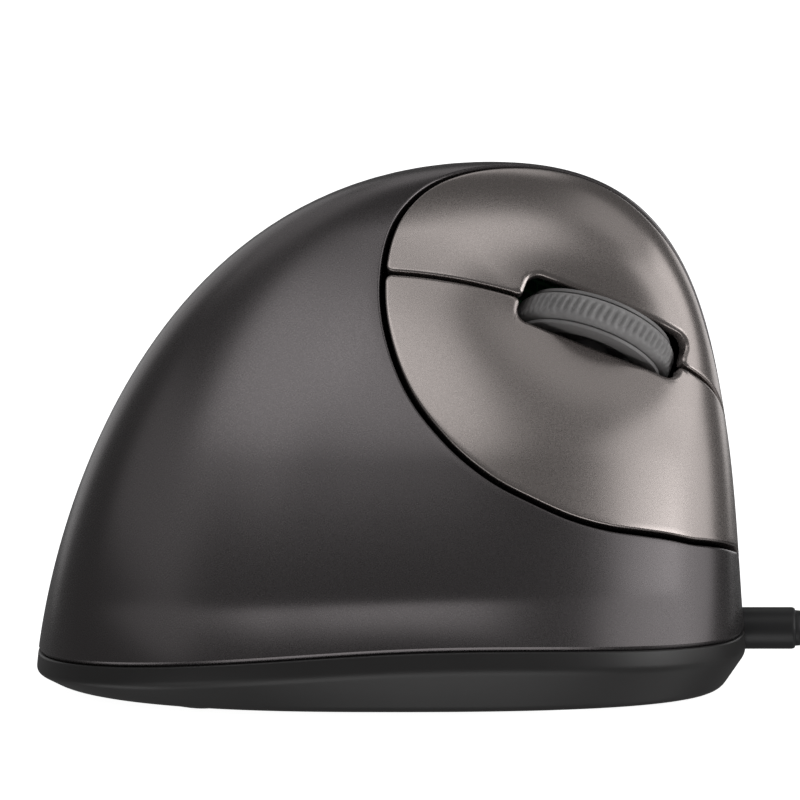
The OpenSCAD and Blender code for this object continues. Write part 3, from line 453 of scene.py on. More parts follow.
# Materials

def feed(tree, node, **inputs):
    """Fills a node's inputs, each with a socket to link from or a value. _0 is the first input."""
    for key, value in inputs.items():
        socket = node.inputs[int(key[1:])] if key[1:].isdigit() else node.inputs[key.replace("_", " ")]
        if isinstance(value, bpy.types.NodeSocket):
            tree.links.new(value, socket)
        else:
            socket.default_value = value


def add_node(tree, kind, settings=None, stops=(), **inputs):
    """Adds a node with its settings, the stops of its colour ramp and its inputs."""
    node = tree.nodes.new(kind)
    for key, value in (settings or {}).items():
        setattr(node, key, value)
    for i, (place, colour) in enumerate(stops):
        node.color_ramp.elements[i].position = place
        node.color_ramp.elements[i].color = colour
    feed(tree, node, **inputs)
    return node


def new_finish(name):
    """An empty material with its shader, and the object's own coordinates in metres."""
    finish = bpy.data.materials.new(name)
    finish.use_nodes = True
    tree = finish.node_tree
    shader = tree.nodes["Principled BSDF"]
    place = add_node(tree, "ShaderNodeTexCoord").outputs["Object"]
    return finish, tree, shader, place


def shade_of(colour, factor):
    """A lighter or darker shade of a colour, with alpha."""
    return tuple(min(1.0, x * factor) for x in colour) + (1.0,)


def moulded_finish(name, colour, roughness, grain_mm, grain_height):
    """Moulded plastic: an even colour with faint clouding, over the fine spark-eroded grain of its mould."""
    finish, tree, shader, place = new_finish(name)
    cloud = add_node(tree, "ShaderNodeTexNoise", Vector=place, Scale=1 / (9 * MM), Detail=3.0)
    stops = [(0.3, shade_of(colour, 0.94)), (0.7, shade_of(colour, 1.06))]
    tint = add_node(tree, "ShaderNodeValToRGB", stops=stops, Fac=cloud.outputs["Fac"])
    grain = add_node(tree, "ShaderNodeTexNoise", Vector=place, Scale=1 / (grain_mm * MM), Detail=2.0)
    gloss = add_node(tree, "ShaderNodeMapRange", Value=grain.outputs["Fac"], To_Min=roughness - 0.04,
                     To_Max=roughness + 0.04)
    bump = add_node(tree, "ShaderNodeBump", Height=grain.outputs["Fac"], Strength=0.5,
                    Distance=grain_height * MM)
    feed(tree, shader, Base_Color=tint.outputs["Color"], Roughness=gloss.outputs["Result"],
         Normal=bump.outputs["Normal"], IOR=1.5)
    return finish


def painted_finish(name, colour, roughness, metallic):
    """Metallic paint on ABS: fine flakes that scatter the gloss and vary the shade a little."""
    finish, tree, shader, place = new_finish(name)
    # Real flakes are about 0.05 mm, drawn at 0.22 mm so that they show
    flakes = add_node(tree, "ShaderNodeTexVoronoi", Vector=place, Scale=1 / (0.22 * MM))
    spark = add_node(tree, "ShaderNodeSeparateColor", Color=flakes.outputs["Color"]).outputs
    stops = [(0.0, shade_of(colour, 0.98)), (1.0, shade_of(colour, 1.02))]
    tint = add_node(tree, "ShaderNodeValToRGB", stops=stops, Fac=spark["Red"])
    gloss = add_node(tree, "ShaderNodeMapRange", Value=spark["Green"], To_Min=roughness - 0.02,
                     To_Max=roughness + 0.02)
    bump = add_node(tree, "ShaderNodeBump", Height=spark["Blue"], Strength=0.04, Distance=0.004 * MM)
    feed(tree, shader, Base_Color=tint.outputs["Color"], Roughness=gloss.outputs["Result"],
         Normal=bump.outputs["Normal"], Metallic=metallic)
    return finish


def rubber_finish(name, colour):
    """Moulded rubber: dull and slightly powdery, with dust-pale specks of talc."""
    finish, tree, shader, place = new_finish(name)
    dust = add_node(tree, "ShaderNodeTexNoise", Vector=place, Scale=1 / (0.8 * MM), Detail=6.0)
    stops = [(0.35, shade_of(colour, 0.88)), (0.75, shade_of(colour, 1.12))]
    tint = add_node(tree, "ShaderNodeValToRGB", stops=stops, Fac=dust.outputs["Fac"])
    bump = add_node(tree, "ShaderNodeBump", Height=dust.outputs["Fac"], Strength=0.35, Distance=0.01 * MM)
    feed(tree, shader, Base_Color=tint.outputs["Color"], Normal=bump.outputs["Normal"], Roughness=0.55,
         Sheen_Weight=0.15)
    return finish


def metal_finish(name, colour, roughness):
    """Plated or drawn steel: a bright metal with fine lines along it."""
    finish, tree, shader, place = new_finish(name)
    stretch = (1 / (6 * MM), 1 / (0.2 * MM), 1 / (0.2 * MM))
    lines = add_node(tree, "ShaderNodeMapping", Vector=place, Scale=stretch)
    grain = add_node(tree, "ShaderNodeTexNoise", Vector=lines.outputs["Vector"], Scale=1.0, Detail=3.0)
    gloss = add_node(tree, "ShaderNodeMapRange", Value=grain.outputs["Fac"], To_Min=roughness * 0.7,
                     To_Max=roughness * 1.3)
    stops = [(0.0, shade_of(colour, 0.9)), (1.0, shade_of(colour, 1.06))]
    tint = add_node(tree, "ShaderNodeValToRGB", stops=stops, Fac=grain.outputs["Fac"])
    feed(tree, shader, Base_Color=tint.outputs["Color"], Roughness=gloss.outputs["Result"], Metallic=1.0)
    return finish


def board_finish(name):
    """Glass-fibre board under green solder resist, with copper tracks that show as paler lines."""
    finish, tree, shader, place = new_finish(name)
    weave = add_node(tree, "ShaderNodeTexBrick", {"offset": 0.5}, Vector=place, Scale=1 / (4 * MM),
                     Color1=linear("#1d5637") + (1.0,), Color2=linear("#23643f") + (1.0,),
                     Mortar=linear("#3f8a5a") + (1.0,), Mortar_Size=0.03)
    bump = add_node(tree, "ShaderNodeBump", Height=weave.outputs["Fac"], Strength=0.4, Distance=0.03 * MM)
    feed(tree, shader, Base_Color=weave.outputs["Color"], Normal=bump.outputs["Normal"], Roughness=0.35)
    return finish


def clear_finish(name, colour):
    """Clear moulded plastic: see-through, with a faint haze from its mould."""
    finish, tree, shader, place = new_finish(name)
    haze = add_node(tree, "ShaderNodeTexNoise", Vector=place, Scale=1 / (0.6 * MM), Detail=2.0)
    gloss = add_node(tree, "ShaderNodeMapRange", Value=haze.outputs["Fac"], To_Min=0.04, To_Max=0.14)
    feed(tree, shader, Base_Color=colour + (1.0,), Roughness=gloss.outputs["Result"],
         Transmission_Weight=0.9, IOR=1.49)
    return finish


def strap_finish(name):
    """Woven nylon strap: fine cords side by side, dull, with thread ends that catch the light."""
    finish, tree, shader, place = new_finish(name)
    cords = add_node(tree, "ShaderNodeTexWave", {"bands_direction": "X"}, Vector=place, Scale=1 / (3.6 * MM),
                     Distortion=0.6)
    picks = add_node(tree, "ShaderNodeTexNoise", Vector=place, Scale=1 / (0.35 * MM), Detail=2.0)
    mixed = add_node(tree, "ShaderNodeMath", {"operation": "MULTIPLY"}, _0=cords.outputs["Fac"],
                     _1=picks.outputs["Fac"])
    stops = [(0.0, linear("#151516") + (1.0,)), (1.0, linear("#3a3a3c") + (1.0,))]
    tint = add_node(tree, "ShaderNodeValToRGB", stops=stops, Fac=mixed.outputs["Value"])
    bump = add_node(tree, "ShaderNodeBump", Height=mixed.outputs["Value"], Strength=0.7, Distance=0.15 * MM)
    feed(tree, shader, Base_Color=tint.outputs["Color"], Normal=bump.outputs["Normal"], Roughness=0.8)
    return finish


def find_finish(name, make, *values):
    """The material of that name, made where it isn't there yet."""
    return bpy.data.materials.get(name) or make(name, *values)


def shell_paint(colours):
    """Satin metallic paint of the shell: dark, with wide soft highlights."""
    return find_finish("satin_paint_shell", painted_finish, tuple(colours.shell), 0.28, 0.95)


def cable_pvc(colours):
    """Soft PVC of cable, strain relief and plug grip: black, with a silky sheen."""
    return find_finish("silky_pvc_black", moulded_finish, tuple(colours.cable), 0.45, 0.4, 0.006)


# Stage

AIM = Vector((1.36, 0.51, 42.9)) * MM
CAMERA_FAR = 1.6
CAMERA_RISE = math.radians(7.5)
CAMERA_LENS = 480.0
SURROUND = 0.12
FLOOR_GLOW = 0.96
# Soft boxes: azimuth round the mouse from the camera towards the right, elevation, distance, width, height
# and radiance. Those named bounce stand under the floor, for the light that a white table throws back.
SOFT_BOXES = [
    ("top_front_left_light", -45, 55, 1.0, 0.5, 0.45, 1.3),
    ("top_front_light", 0, 55, 1.0, 0.45, 0.4, 1.1),
    ("top_right_light", 80, 60, 1.0, 0.6, 0.4, 0.4),
    ("top_back_light", 180, 55, 1.0, 0.45, 0.4, 0.6),
    ("top_back_left_light", -135, 55, 1.0, 0.45, 0.4, 0.4),
    ("left_light", -75, 32, 1.0, 0.8, 0.4, 0.3),
    ("back_left_light", -150, 20, 1.0, 0.5, 0.8, 0.5),
    ("front_right_light", 60, 8, 1.0, 0.5, 0.42, 3.0),
    ("front_right_high_light", 60, 32, 1.0, 0.45, 0.42, 1.0),
    ("right_light", 90, 8, 1.0, 0.5, 0.42, 1.0),
    ("right_high_light", 90, 32, 1.0, 0.45, 0.42, 1.3),
    ("back_right_light", 150, 8, 1.0, 0.5, 0.42, 0.9),
    ("bounce_left", -90, -50, 1.0, 0.5, 0.5, 1.0),
    ("bounce_front", 0, -50, 1.0, 0.9, 0.6, 1.3),
    ("bounce_right", 90, -50, 1.0, 0.5, 0.5, 0.5),
    ("bounce_low_left", -45, -20, 1.0, 0.6, 0.4, 0.8),
    ("bounce_low_right", 90, -20, 1.0, 0.6, 0.4, 0.3),
]


class MOUSE_OT_stage(bpy.types.Operator):
    """Camera, soft boxes and a plain pale floor"""

    bl_idname = "mouse.stage"
    bl_label = "Stage"

    def execute(self, context):
        scene = context.scene
        data = bpy.data.cameras.new("camera")
        data.lens = CAMERA_LENS
        data.sensor_width = 36
        data.clip_start = 0.05
        data.clip_end = 40
        camera = bpy.data.objects.new("camera", data)
        back = Vector((0, -math.cos(CAMERA_RISE), math.sin(CAMERA_RISE)))
        camera.location = AIM + back * CAMERA_FAR
        camera.rotation_euler = (-back).to_track_quat("-Z", "Y").to_euler()
        scene.collection.objects.link(camera)
        scene.camera = camera
        for name, azimuth, rise, far, width, height, radiance in SOFT_BOXES:
            self.soft_box(scene, name, azimuth, rise, far, width, height, radiance)
        self.world(scene)
        self.floor(context)
        scene.view_settings.view_transform = "Standard"
        return {"FINISHED"}

    def soft_box(self, scene, name, azimuth, rise, far, width, height, radiance):
        """A soft box that faces the mouse."""
        data = bpy.data.lights.new(name, "AREA")
        data.shape = "RECTANGLE"
        data.size = width
        data.size_y = height
        data.energy = radiance * math.pi * width * height
        light = bpy.data.objects.new(name, data)
        a = math.radians(azimuth)
        e = math.radians(rise)
        out = Vector((math.sin(a) * math.cos(e), -math.cos(a) * math.cos(e), math.sin(e)))
        light.location = AIM + out * far
        light.rotation_euler = out.to_track_quat("Z", "Y").to_euler()
        light.visible_camera = False
        scene.collection.objects.link(light)

    def world(self, scene):
        """A dim even surround."""
        world = bpy.data.worlds.new("surround")
        world.use_nodes = True
        feed(world.node_tree, world.node_tree.nodes["Background"], Color=(1, 1, 1, 1), Strength=SURROUND)
        scene.world = world

    def floor(self, context):
        """A pale sheet that only the camera sees, so that the bounce boxes under it reach the mouse."""
        finish, tree, shader, place = new_finish("pale_paper")
        colour = tuple(context.scene.mouse_colours.floor)
        fibre = add_node(tree, "ShaderNodeTexNoise", Vector=place, Scale=1 / (2 * MM), Detail=2.0)
        stops = [(0.0, shade_of(colour, 0.995)), (1.0, shade_of(colour, 1.0))]
        tint = add_node(tree, "ShaderNodeValToRGB", stops=stops, Fac=fibre.outputs["Fac"])
        feed(tree, shader, Base_Color=tint.outputs["Color"], Roughness=0.9, Specular_IOR_Level=0.0,
             Emission_Color=(1, 1, 1, 1), Emission_Strength=FLOOR_GLOW)
        mesh = bpy.data.meshes.new("floor")
        size = 6.0
        low = -5e-5
        corners = [(-size, -size, low), (size, -size, low), (size, size, low), (-size, size, low)]
        mesh.from_pydata(corners, [], [(0, 1, 2, 3)])
        mesh.materials.append(finish)
        floor = bpy.data.objects.new("floor", mesh)
        floor.visible_diffuse = False
        floor.visible_glossy = False
        floor.visible_shadow = False
        context.scene.collection.objects.link(floor)


# Plug

PLUG = np.array([117, -29, 4.2])
GRIP_LONG = 34.0
GRIP_ROUND = 0.7
GRIP_GROOVES = (15, 17.6, 20.2, 22.8)
GROOVE_DEEP = 0.4
GROOVE_HALF = 0.5
PLUG_SHELL_LONG = 18.5
CONTACT_HALF = 0.5


class MOUSE_OT_plug(bpy.types.Operator):
    """Plug: moulded grip and the contacts on its tongue"""

    bl_idname = "mouse.plug"
    bl_label = "Plug"

    def execute(self, context):
        pvc = cable_pvc(context.scene.mouse_colours)
        self.grip(pvc)
        self.contacts()
        return {"FINISHED"}

    def grip(self, pvc):
        """A moulded grip that tapers to the cable, with four finger grooves round it."""
        d = np.concatenate([np.linspace(0, GRIP_ROUND, 6), np.linspace(1.2, 13, 30),
                            np.linspace(13.2, 24.4, 57), [26, 29, 32],
                            GRIP_LONG - np.linspace(GRIP_ROUND, 0, 6)])
        taper = np.where(d < 7, d / 9, 7 / 9 + 2 / 9 * (1 - (1 - np.clip((d - 7) / 4, 0, 1)) ** 2))
        inset = round_drop(np.minimum(d, GRIP_LONG - d), GRIP_ROUND)
        for groove in GRIP_GROOVES:
            inset = inset + GROOVE_DEEP * np.exp(-((d - groove) / GROOVE_HALF) ** 2)
        rows = []
        for x, f, cut in zip(d, taper, inset):
            half = np.array([3.2 + 4.6 * f - cut, 2.7 + 1.5 * f - cut])
            ring = rounded_box_line(-half, half, 1.5 + 0.6 * f - cut / 2, 7)
            rows.append(PLUG + np.column_stack([np.full(len(ring), -x), ring]))
        n = len(rows[0])
        faces = grid_faces(len(rows), n, False, True) + [loop_fan(0, n), loop_fan((len(rows) - 1) * n, n)]
        mesh_piece("plug_grip", np.concatenate(rows), faces, pvc, "housing", ["usb_grip"])

    def contacts(self):
        """Four gilded springs under the tongue, each with a ramp at its tip."""
        parts = Parts()
        x = PLUG[0] - GRIP_LONG - PLUG_SHELL_LONG
        side = np.array([(1.2, 0.1), (1.6, -0.02), (2.2, -0.06), (10, -0.06), (10, 0.1)])
        for y, far in ((-3.5, 0), (-1, 1), (1, 1), (3.5, 0)):
            line = side + [far, 0]

            def level(reach):
                return lambda loop: np.column_stack(
                    [x + loop[:, 0], np.full(len(loop), PLUG[1] + y + reach), PLUG[2] + loop[:, 1]])

            parts.slab([line], level(-CONTACT_HALF), level(CONTACT_HALF))
        gilt = find_finish("gilded_contact", metal_finish, linear("#d9b25a"), 0.25)
        mesh_piece("plug_contacts", parts.all_points(), parts.faces, gilt, "housing")


# Cable, its tie and its sleeve

CABLE_Z = 8.4
RELIEF_IN = 49.0
RELIEF_COLLAR_END = 60.8
FLEX_START = 61.6
FLEX_STEP = 2.5
FLEX_RINGS = 5
FLEX_DEEP = 0.42
RELIEF_END = 74.8
COIL_MIDDLE = (107.5, 34)
COIL_Z = 2.5
COIL_CLIMB = 4.5
COIL_INNER = 11
COIL_STEP = 4.6
COIL_TURNS = 10
LEAD_ROUTE = [
    (74.8, 0, 8.4), (79.5, 0, 8.2), (85, 0, 7.1), (90, 0, 5.5), (95, 0, 3.9), (99.5, 0, 2.8), (103.5, 0, 2.5)]
TAIL_ROUTE = [
    (111.5, 0, 7), (120, -0.6, 6.8), (124, -2.4, 6), (129, -6, 4.6), (132.5, -11, 3.2), (134, -17, 2.3),
    (132, -23, 2.2), (127.5, -27.5, 2.6), (122, -29, 3.7), (117, -29, 4.2)]


def smooth_route(points, steps):
    """A smooth line through points, with steps places from each to the next."""
    p = np.array(points, float)
    p = np.concatenate([[2 * p[0] - p[1]], p, [2 * p[-1] - p[-2]]])
    f = np.arange(steps)[:, None] / steps
    line = []
    for i in range(1, len(p) - 2):
        a, b, c, d = p[i - 1:i + 3]
        line.append(b + f / 2 * (c - a + f * (2 * a - 5 * b + 4 * c - d + f * (3 * (b - c) + d - a))))
    return np.concatenate(line + [p[-2:-1]])


def cable_line():
    """The whole cable's centre line: out of the sleeve, down, round the coil and on to the plug."""
    n = np.arange(COIL_TURNS * 48 + 1) / 48
    r = COIL_INNER + COIL_STEP * np.abs(n - COIL_TURNS / 2)
    a = 2 * np.pi * n - np.pi / 2
    up = ease((n - COIL_TURNS / 2) * 2 + 0.5)
    x = COIL_MIDDLE[0] + r * np.cos(a)
    y = COIL_MIDDLE[1] + r * np.sin(a)
    coil = np.stack([x, y, COIL_Z + COIL_CLIMB * up], -1)
    return np.concatenate([smooth_route(LEAD_ROUTE, 5), coil, smooth_route(TAIL_ROUTE, 5)])


class MOUSE_OT_cable(bpy.types.Operator):
    """Cable with its moulded sleeve, coil and tie"""

    bl_idname = "mouse.cable"
    bl_label = "Cable"

    def execute(self, context):
        sizes = context.scene.mouse_sizes
        pvc = cable_pvc(context.scene.mouse_colours)
        line = cable_line() * MM
        curve = bpy.data.curves.new("cable", "CURVE")
        curve.dimensions = "3D"
        curve.bevel_depth = sizes.cable_diameter / 2
        curve.bevel_resolution = 5
        curve.use_fill_caps = True
        spline = curve.splines.new("POLY")
        spline.points.add(len(line) - 1)
        spline.points.foreach_set("co", np.column_stack([line, np.ones(len(line))]).ravel())
        spline.use_smooth = True
        curve.materials.append(pvc)
        cable = bpy.data.objects.new("cable", curve)
        link_piece(cable, "housing", ["cable_lead", "cable_coil", "cable_tail"])
        self.sleeve(pvc)
        tie = self.tie()
        return {"FINISHED"}

    def sleeve(self, pvc):
        """The strain relief: a collar in the body's wall and a tapered tail with flex rings."""
        bore = 2.02
        flange = 4.5
        flange_end = 50.4
        collar = 3.15
        tail = 2.65
        taper = 0.3
        profile = [(RELIEF_IN, bore), (RELIEF_IN, flange), (flange_end, flange), (flange_end, collar)]
        profile += [(60.2, collar), (60.5, 3.1), (60.72, 2.95), (RELIEF_COLLAR_END, 2.7)]
        for i in range(FLEX_RINGS):
            x = FLEX_START + i * FLEX_STEP
            r = tail - taper * (x - RELIEF_COLLAR_END) / (RELIEF_END - RELIEF_COLLAR_END)
            profile += [(x, r), (x + 0.12, r - 0.1), (x + 0.25, r - FLEX_DEEP)]
            profile += [(x + 0.75, r - FLEX_DEEP), (x + 0.88, r - 0.12), (x + 1.0, r - 0.02)]
        profile += [(74.3, 2.35), (74.65, 2.28), (RELIEF_END, 2.1), (RELIEF_END, bore)]
        centre = np.array([0, 0, CABLE_Z])
        points, faces = lathe(profile, 56, centre, np.array([1.0, 0, 0]), np.array([0, 1.0, 0]))
        mesh_piece("strain_relief_sleeve", points, faces, pvc, "housing", ["strain_relief"])

    def tie(self):
        """A woven strap round one side of the coil, its free end pressed down over its start."""
        low = (44.15, 0.05)
        high = (68.45, 9.75)
        thick = 0.45
        outer = rounded_box_line(low, high, 3.4, 9)
        inner_low = (low[0] + thick, low[1] + thick)
        inner_high = (high[0] - thick, high[1] - thick)
        inner = rounded_box_line(inner_low, inner_high, 2.95, 9)
        n = len(outer)
        rows = []
        for x, f in [(-3, 0.18), (-2.9, 0), (2.9, 0), (3, 0.18), (3, 0.82), (2.9, 1), (-2.9, 1), (-3, 0.82)]:
            ring = outer * (1 - f) + inner * f
            rows.append(np.column_stack([np.full(n, COIL_MIDDLE[0] + x), ring]))
        parts = Parts()
        parts.add(np.concatenate(rows), grid_faces(8, n, True, True))
        y = np.linspace(49, 60, 12)
        rows = []
        for x, z in [(-2.9, 9.72), (-2.8, 9.8), (2.8, 9.8), (2.9, 9.72), (2.9, 9.6), (-2.9, 9.6)]:
            rows.append(np.column_stack([np.full(12, COIL_MIDDLE[0] + x), y, np.full(12, z)]))
        start = parts.add(np.concatenate(rows), grid_faces(6, 12, True, False))
        parts.faces += [[start + r * 12 for r in range(6)], [start + r * 12 + 11 for r in range(6)]]
        finish = find_finish("woven_nylon_strap", strap_finish)
        return mesh_piece("cable_strap", parts.all_points(), parts.faces, finish, "housing",
                          ["cable_tie"])


# Shell

SHELL_COLUMNS = 288
SHELL_ROWS = 60
BEVEL_LEAN = 0.8
THUMB_GAP = 0.3
THUMB_EDGE_ROUND = 0.35
THUMB_MARGIN = 1.6


def stadium_hit(way, half, radius):
    """Where rays from the middle of a slot with round ends meet its outline."""
    x = np.abs(way[..., 0])
    y = np.abs(way[..., 1])
    k = radius / np.maximum(y, 1e-9)
    length = x * x + y * y
    root = np.sqrt(np.maximum((half * x) ** 2 - length * (half ** 2 - radius ** 2), 0))
    k = np.where(x * k > half, (half * x + root) / length, k)
    return way * k[..., None]


class MOUSE_OT_shell(bpy.types.Operator):
    """Moulded shell with its button opening and thumb holes"""

    bl_idname = "mouse.shell"
    bl_label = "Shell"

    def execute(self, context):
        sizes = context.scene.mouse_sizes
        skin = Skin(sizes)
        wall = sizes.wall / MM
        radius = sizes.edge_round / MM
        a = np.arange(SHELL_COLUMNS) * 360 / SHELL_COLUMNS
        edge = skin.egg(a)
        way = skin.egg(a + 0.5) - skin.egg(a - 0.5)
        rim = skin.rim(a)
        rim_way = skin.rim(a + 0.5) - skin.rim(a - 0.5)
        rows = []
        for u in ROUND_STEPS[:-1] * radius:
            place = skin.beside(edge, way, np.full(len(a), -u))
            rows.append(skin.under(place, np.full(len(a), round_drop(u, radius))))
        first = skin.beside(edge, way, np.full(len(a), -radius))
        lower = sizes.lower_bevel / MM
        last = skin.beside(rim, rim_way, np.full(len(a), lower))
        f = 1 - (1 - np.arange(SHELL_ROWS + 1) / SHELL_ROWS) ** 1.4
        places = first + (last - first) * f[:, None, None]
        outer_row = len(rows)
        rows += list(skin.at(places))
        corner = skin.at(rim)
        inward = -unit(skin.normal(rim) * [1, 1, 0])
        turn = corner + BEVEL_LEAN * lower * inward
        for s in (0.12, 0.4, 0.7, 0.92):
            rows.append(bezier([rows[outer_row + SHELL_ROWS], turn], np.full(len(a), s)))
        rows += [turn, corner + wall * inward]
        inner_row = len(rows)
        rows += list(skin.under(places, np.full(places.shape[:2], wall))[::-1])
        rows.append(skin.under(edge, np.full(len(a), wall)))
        parts = Parts()
        n = len(a)
        count = len(rows)
        row_lo, row_hi, col_lo, col_mid, col_hi = self.thumb_cut(skin, sizes, places)
        faces = np.array(grid_faces(count, n, True, True)).reshape(count, n, 4)
        keep = np.ones((count, n), bool)
        keep[outer_row + row_lo:outer_row + row_hi, col_lo:col_hi] = False
        flip = inner_row + SHELL_ROWS
        keep[flip - row_hi:flip - row_lo, col_lo:col_hi] = False
        parts.add(np.concatenate(rows), faces[keep].tolist())
        for s, lo, hi in ((-1, col_lo, col_mid), (1, col_mid, col_hi)):
            self.thumb_hole(skin, sizes, parts, places, (row_lo, row_hi, lo, hi), s, outer_row, flip, n)
        finish = shell_paint(context.scene.mouse_colours)
        mesh_piece("shell", parts.all_points(), parts.faces, finish, "housing",
                   ["main_shell"])
        return {"FINISHED"}

    def thumb_cut(self, skin, sizes, places):
        """Rows and columns of the grid that give way to the two thumb holes, with the column between them."""
        v = skin.at(places) - skin.thumb_o
        x = dot(v, skin.thumb_x)
        y = dot(v, skin.thumb_y)
        on_side = dot(v, skin.thumb_z) > -15
        half = (sizes.thumb_length + sizes.thumb_land / 2) / MM
        tall = sizes.thumb_width / MM / 2
        inside = on_side & (np.abs(x) < half + THUMB_MARGIN) & (np.abs(y) < tall + THUMB_MARGIN)
        r = np.nonzero(inside.any(1))[0]
        c = np.nonzero(inside.any(0))[0]
        middle = np.argmin(np.abs(y[:, c[len(c) // 2]]) + 99 * ~on_side[:, c[len(c) // 2]])
        between = c[np.argmin(np.abs(x[middle, c]))]
        return r[0] - 1, r[-1] + 1, c[0] - 1, between, c[-1] + 1

    def thumb_hole(self, skin, sizes, parts, places, block, side, outer_row, flip, n):
        """A thumb button's hole with a rounded rim, set into its block of the grid."""
        row_lo, row_hi, lo, hi = block
        ring = [(row_lo, c) for c in range(lo, hi)] + [(r, hi) for r in range(row_lo, row_hi)]
        ring += [(row_hi, c) for c in range(hi, lo, -1)] + [(r, lo) for r in range(row_hi, row_lo, -1)]
        r_at = np.array([r for r, c in ring])
        c_at = np.array([c for r, c in ring])
        bound = places[r_at, c_at]
        v = skin.at(bound) - skin.thumb_o
        middle = side * (sizes.thumb_length + sizes.thumb_land) / 2 / MM
        way = np.stack([dot(v, skin.thumb_x) - middle, dot(v, skin.thumb_y)], -1)
        half = (sizes.thumb_length - sizes.thumb_width) / 2 / MM
        reach = sizes.thumb_width / MM / 2 + THUMB_GAP
        radius = THUMB_EDGE_ROUND
        wall = sizes.wall / MM

        def outline(grow):
            xy = stadium_hit(way, half, reach + grow)
            return skin.on_thumb(xy + [middle, 0])

        near = outline(radius)
        hole = outline(0)
        depth = wall / dot(skin.normal(hole), skin.thumb_z)
        inner_hole = skin.at(hole) - depth[:, None] * skin.thumb_z
        shift = inner_hole - skin.under(hole, np.full(len(hole), wall))
        outer = []
        inner = []
        for w in (0.35, 0.7):
            mixed = bound * (1 - w) + near * w
            outer.append(skin.at(mixed))
            inner.append(skin.under(mixed, np.full(len(hole), wall)) + w * shift)
        for u in ROUND_STEPS[::-1] * radius:
            outer.append(skin.at(outline(u)) - round_drop(u, radius) * skin.thumb_z)
        rings = outer + [inner_hole] + inner[::-1]
        k = len(ring)
        start = parts.add(np.concatenate(rings), grid_faces(len(rings), k, False, True))
        first = [(outer_row + r) * n + c for r, c in ring]
        final = [(flip - r) * n + c for r, c in ring]
        for i in range(k):
            j = (i + 1) % k
            parts.faces.append([first[i], first[j], start + j, start + i])
            end = start + (len(rings) - 1) * k
            parts.faces.append([final[i], final[j], end + j, end + i])


# Button caps

def segment_distance(points, line):
    """Least distance from each point to a closed line."""
    a = line
    ab = np.roll(line, -1, 0) - a
    long = np.maximum(dot(ab, ab), 1e-12)
    best = []
    for chunk in np.array_split(points, max(1, len(points) // 400)):
        ap = chunk[:, None] - a
        f = np.clip(dot(ap, ab) / long, 0, 1)
        best.append(np.sqrt(np.min(np.sum((ap - f[..., None] * ab) ** 2, -1), 1)))
    return np.concatenate(best)


def graded(stop, count, first, last):
    """Places from 0 to stop that stand close together over the first and the last stretch."""
    between = np.linspace(first, stop - last, count)[1:-1]
    return np.concatenate([ROUND_STEPS * first, between, stop - last * ROUND_STEPS[::-1]])


# Where the switches' plungers and the caps' pin stand in the finger face's frame
PLUNGER_X = 2.6
PLUNGER_Y = {1: 11.1, -1: -14.6}
PLUNGER_TOP = -8.15
PIN_X = -27.0
PIN_Y = -2.5
LUG_Y = {1: 1.3, -1: -11.3}
LUG_WIDE = 5.0
LUG_ROUND = 2.6
LUG_NECK = 1.8
PIN_BORE = 1.05
PIN_DEEP = 4.2
# Where the seam's two stretches meet the slot's ends, and how far from there each cap's slot edge starts
REAR_SEAM_Y = -0.3
FRONT_SEAM_Y = -0.8
SLOT_LIFT = {1: 0.6, -1: 1.6}
SLOT_SLOPE = 0.55
SLOT_EDGE_ROUND = 0.12


